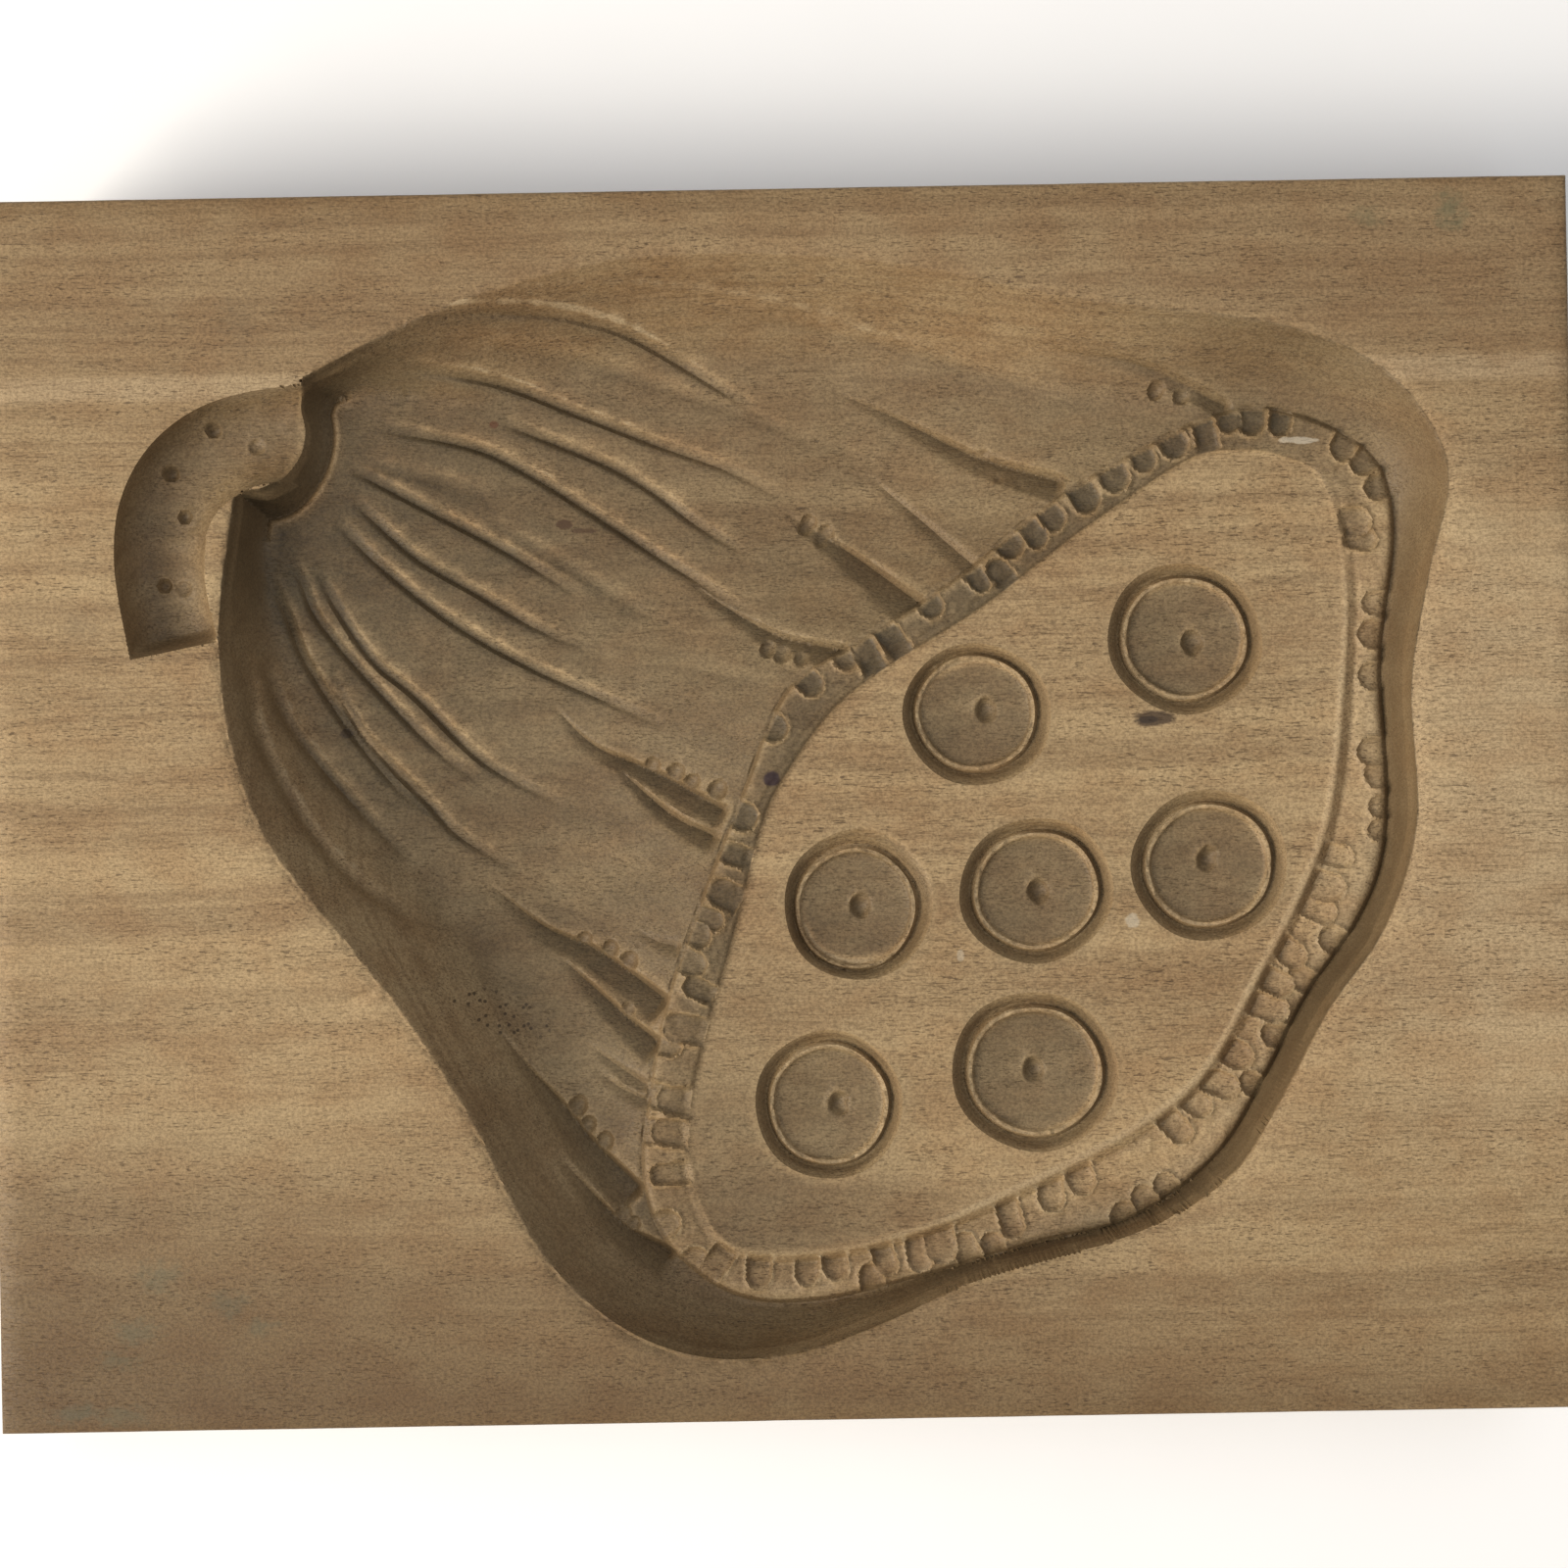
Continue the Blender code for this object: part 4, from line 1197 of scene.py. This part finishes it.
# %% Marks: place, half lengths, colour, strength and raggedness
MARKS = (
    (77.7, 16.6, 5.2, 1.9, "3A2A1B", 0.85, 0.5), (76.5, 16.4, 2.6, 0.9, "241A12", 0.7, 0.5),
    (-2.6, 5.3, 2.1, 1.9, "2E1F22", 0.9, 0.25), (-45.6, 60.0, 2.0, 1.2, "46301C", 0.85, 0.4),
    (-41.5, 58.6, 3.4, 0.6, "46301C", 0.7, 0.3), (-59.8, 81.0, 1.1, 1.0, "5A3822", 0.8, 0.4),
    (-92.0, 16.5, 1.6, 1.3, "35291D", 0.7, 0.6), (138, 119, 5, 6, "55563D", 0.55, 1.2),
    (121, 118, 5, 3, "5B573D", 0.4, 1.2), (-129, -94, 6, 5, "5F5A44", 0.5, 1.2),
    (-115, -100, 6, 4, "55513D", 0.5, 1.2), (-109, -105, 5, 3, "5B5640", 0.45, 1.2),
    (-134, -105.5, 7, 4, "5F5A44", 0.5, 1.2), (-138, -111, 6, 3, "5B5640", 0.45, 1.2),
    (-147, -122, 7, 3, "55513D", 0.55, 1.2), (-137, -122.5, 8, 3, "5B5640", 0.45, 1.2),
    (-143, 39, 7, 4, "6E5D44", 0.35, 1.2), (-110, 100, 6, 9, "6E5D44", 0.3, 1.2),
    (72.6, -25.7, 1.6, 1.6, "B9AE98", 0.5, 0.6), (36.4, -32.4, 1.0, 1.6, "B9AE98", 0.35, 0.6),
    (108.7, 74.1, 4.5, 0.8, "CFC4AE", 0.45, 0.9),
)
MARK_DEPTH = 24.0

mark_floor = THICKNESS - MARK_DEPTH
near_face = node(tree, "ShaderNodeMapRange",
                 {"Value": values["z"], "From Min": mark_floor, "From Max": mark_floor + 2},
                 interpolation_type="SMOOTHSTEP")
for mark_x, mark_y, half_x, half_y, code, strength, rag in MARKS:
    on_mark = node(tree, "ShaderNodeMapping",
                   {"Vector": on_object, "Scale": (1 / (half_x * MM), 1 / (half_y * MM), 0),
                    "Location": (-mark_x / half_x, -mark_y / half_y, 0)})
    away = node(tree, "ShaderNodeVectorMath", {0: on_mark.outputs[0]}, operation="LENGTH")
    torn = node(tree, "ShaderNodeMath", {0: values["tear"], 1: 2 * rag, 2: away.outputs["Value"]},
                operation="MULTIPLY_ADD")
    soft = 0.35 if rag < 1 else 1.0
    sockets = {"Value": torn.outputs[0], "From Min": 1.0, "From Max": 1.0 - soft, "To Max": strength}
    shown = node(tree, "ShaderNodeMapRange", sockets, interpolation_type="SMOOTHSTEP")
    amount = node(tree, "ShaderNodeMath", {0: shown.outputs[0], 1: near_face.outputs[0]},
                  operation="MULTIPLY")
    mixed = node(tree, "ShaderNodeMix", {0: amount.outputs[0], 6: colour, 7: linear(code)},
                 data_type="RGBA")
    colour = mixed.outputs[2]
tree.links.new(colour, shader.inputs["Base Color"])

# %% [markdown]
# Oiled wood has a soft sheen, a little stronger between the raised fibres. What is too fine for the mesh is
# left to a bump of a quarter of a millimetre: raised fibres, fuzz, and the pores standing open.

# %% Sheen and fine relief
tree.links.new(values["sheen"], shader.inputs["Roughness"])
shader.inputs["IOR"].default_value = 1.47
shader.inputs["Specular IOR Level"].default_value = 0.35
bump = node(tree, "ShaderNodeBump", {"Height": values["relief"], "Strength": 0.55, "Distance": 0.00025})
tree.links.new(bump.outputs[0], shader.inputs["Normal"])
plank.data.materials.append(wood)
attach(plank, "root")
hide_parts("mold_board")

# %% [markdown]
# ## Floor, light and camera
#
# The mold lies on a plain pale table. A large soft lamp stands low to the left in front, so that walls
# on that side fall into shade, and a weak one fills in from above. The camera looks straight down.

# %% The table
FLOOR_SIZE = 3.0
FLOOR_Z = -0.0005
s = FLOOR_SIZE / 2
corners = [(-s, -s, FLOOR_Z), (s, -s, FLOOR_Z), (s, s, FLOOR_Z), (-s, s, FLOOR_Z)]
floor_mesh = bpy.data.meshes.new("floor")
floor_mesh.from_pydata(corners, [], [(0, 1, 2, 3)])
floor = bpy.data.objects.new("floor", floor_mesh)
bpy.context.scene.collection.objects.link(floor)
paint = bpy.data.materials.new("pale_paint")
paint.use_nodes = True
tree = paint.node_tree
shader = tree.nodes["Principled BSDF"]
on_floor = node(tree, "ShaderNodeTexCoord").outputs["Object"]
scaled = node(tree, "ShaderNodeMapping", {"Vector": on_floor, "Scale": [1 / (60 * MM)] * 3})
grain = node(tree, "ShaderNodeTexNoise",
             {"Vector": scaled.outputs[0], "Scale": 1.0, "Detail": 3, "Roughness": 0.55})
mixed = node(tree, "ShaderNodeMix", {0: grain.outputs["Fac"], 6: linear("F4F3F1"), 7: linear("EFEEEC")},
             data_type="RGBA")
tree.links.new(mixed.outputs[2], shader.inputs["Base Color"])
shader.inputs["Roughness"].default_value = 0.8
floor_mesh.materials.append(paint)


# %% Lamps
def lamp(name, place, target, size, power, colour):
    """A square area lamp at a place, aimed at a target."""
    data = bpy.data.lights.new(name, "AREA")
    data.shape = "SQUARE"
    data.size = size
    data.energy = power
    data.color = colour[:3]
    made = bpy.data.objects.new(name, data)
    made.location = place
    away = np.array(place) - np.array(target)
    made.rotation_euler = Vector(away).to_track_quat("Z", "Y").to_euler()
    bpy.context.scene.collection.objects.link(made)
    return made


lamp("key", (-1.68, -0.67, 1.25), (0, 0, 0), 1.2, 64, linear("FFF8EE"))
lamp("fill", (0.2, 0.2, 1.3), (0, 0, 0), 1.3, 6, linear("F6F7FB"))
world = bpy.data.worlds.new("studio")
world.use_nodes = True
world.node_tree.nodes["Background"].inputs["Color"].default_value = linear("F4F6FA")
world.node_tree.nodes["Background"].inputs["Strength"].default_value = 0.34
bpy.context.scene.world = world
bpy.context.scene.view_settings.view_transform = "Standard"

# %% The camera: half a metre above the face, its picture as wide as 320 mm of the plank
CAMERA_HEIGHT = 0.5
PICTURE_WIDTH = 0.32
ROLL = radians(-0.985)
OFF_CENTRE = 4.2 * MM
camera_data = bpy.data.cameras.new("camera")
camera_data.sensor_width = 36
camera_data.lens = 36 * CAMERA_HEIGHT / PICTURE_WIDTH
camera = bpy.data.objects.new("camera", camera_data)
camera.location = (-OFF_CENTRE * sin(ROLL), OFF_CENTRE * cos(ROLL), THICKNESS * MM + CAMERA_HEIGHT)
camera.rotation_euler = (0, 0, ROLL)
bpy.context.scene.collection.objects.link(camera)
bpy.context.scene.camera = camera
print("field of view:", round(2 * atan(PICTURE_WIDTH / 2 / CAMERA_HEIGHT) * 180 / pi, 1), "degrees")
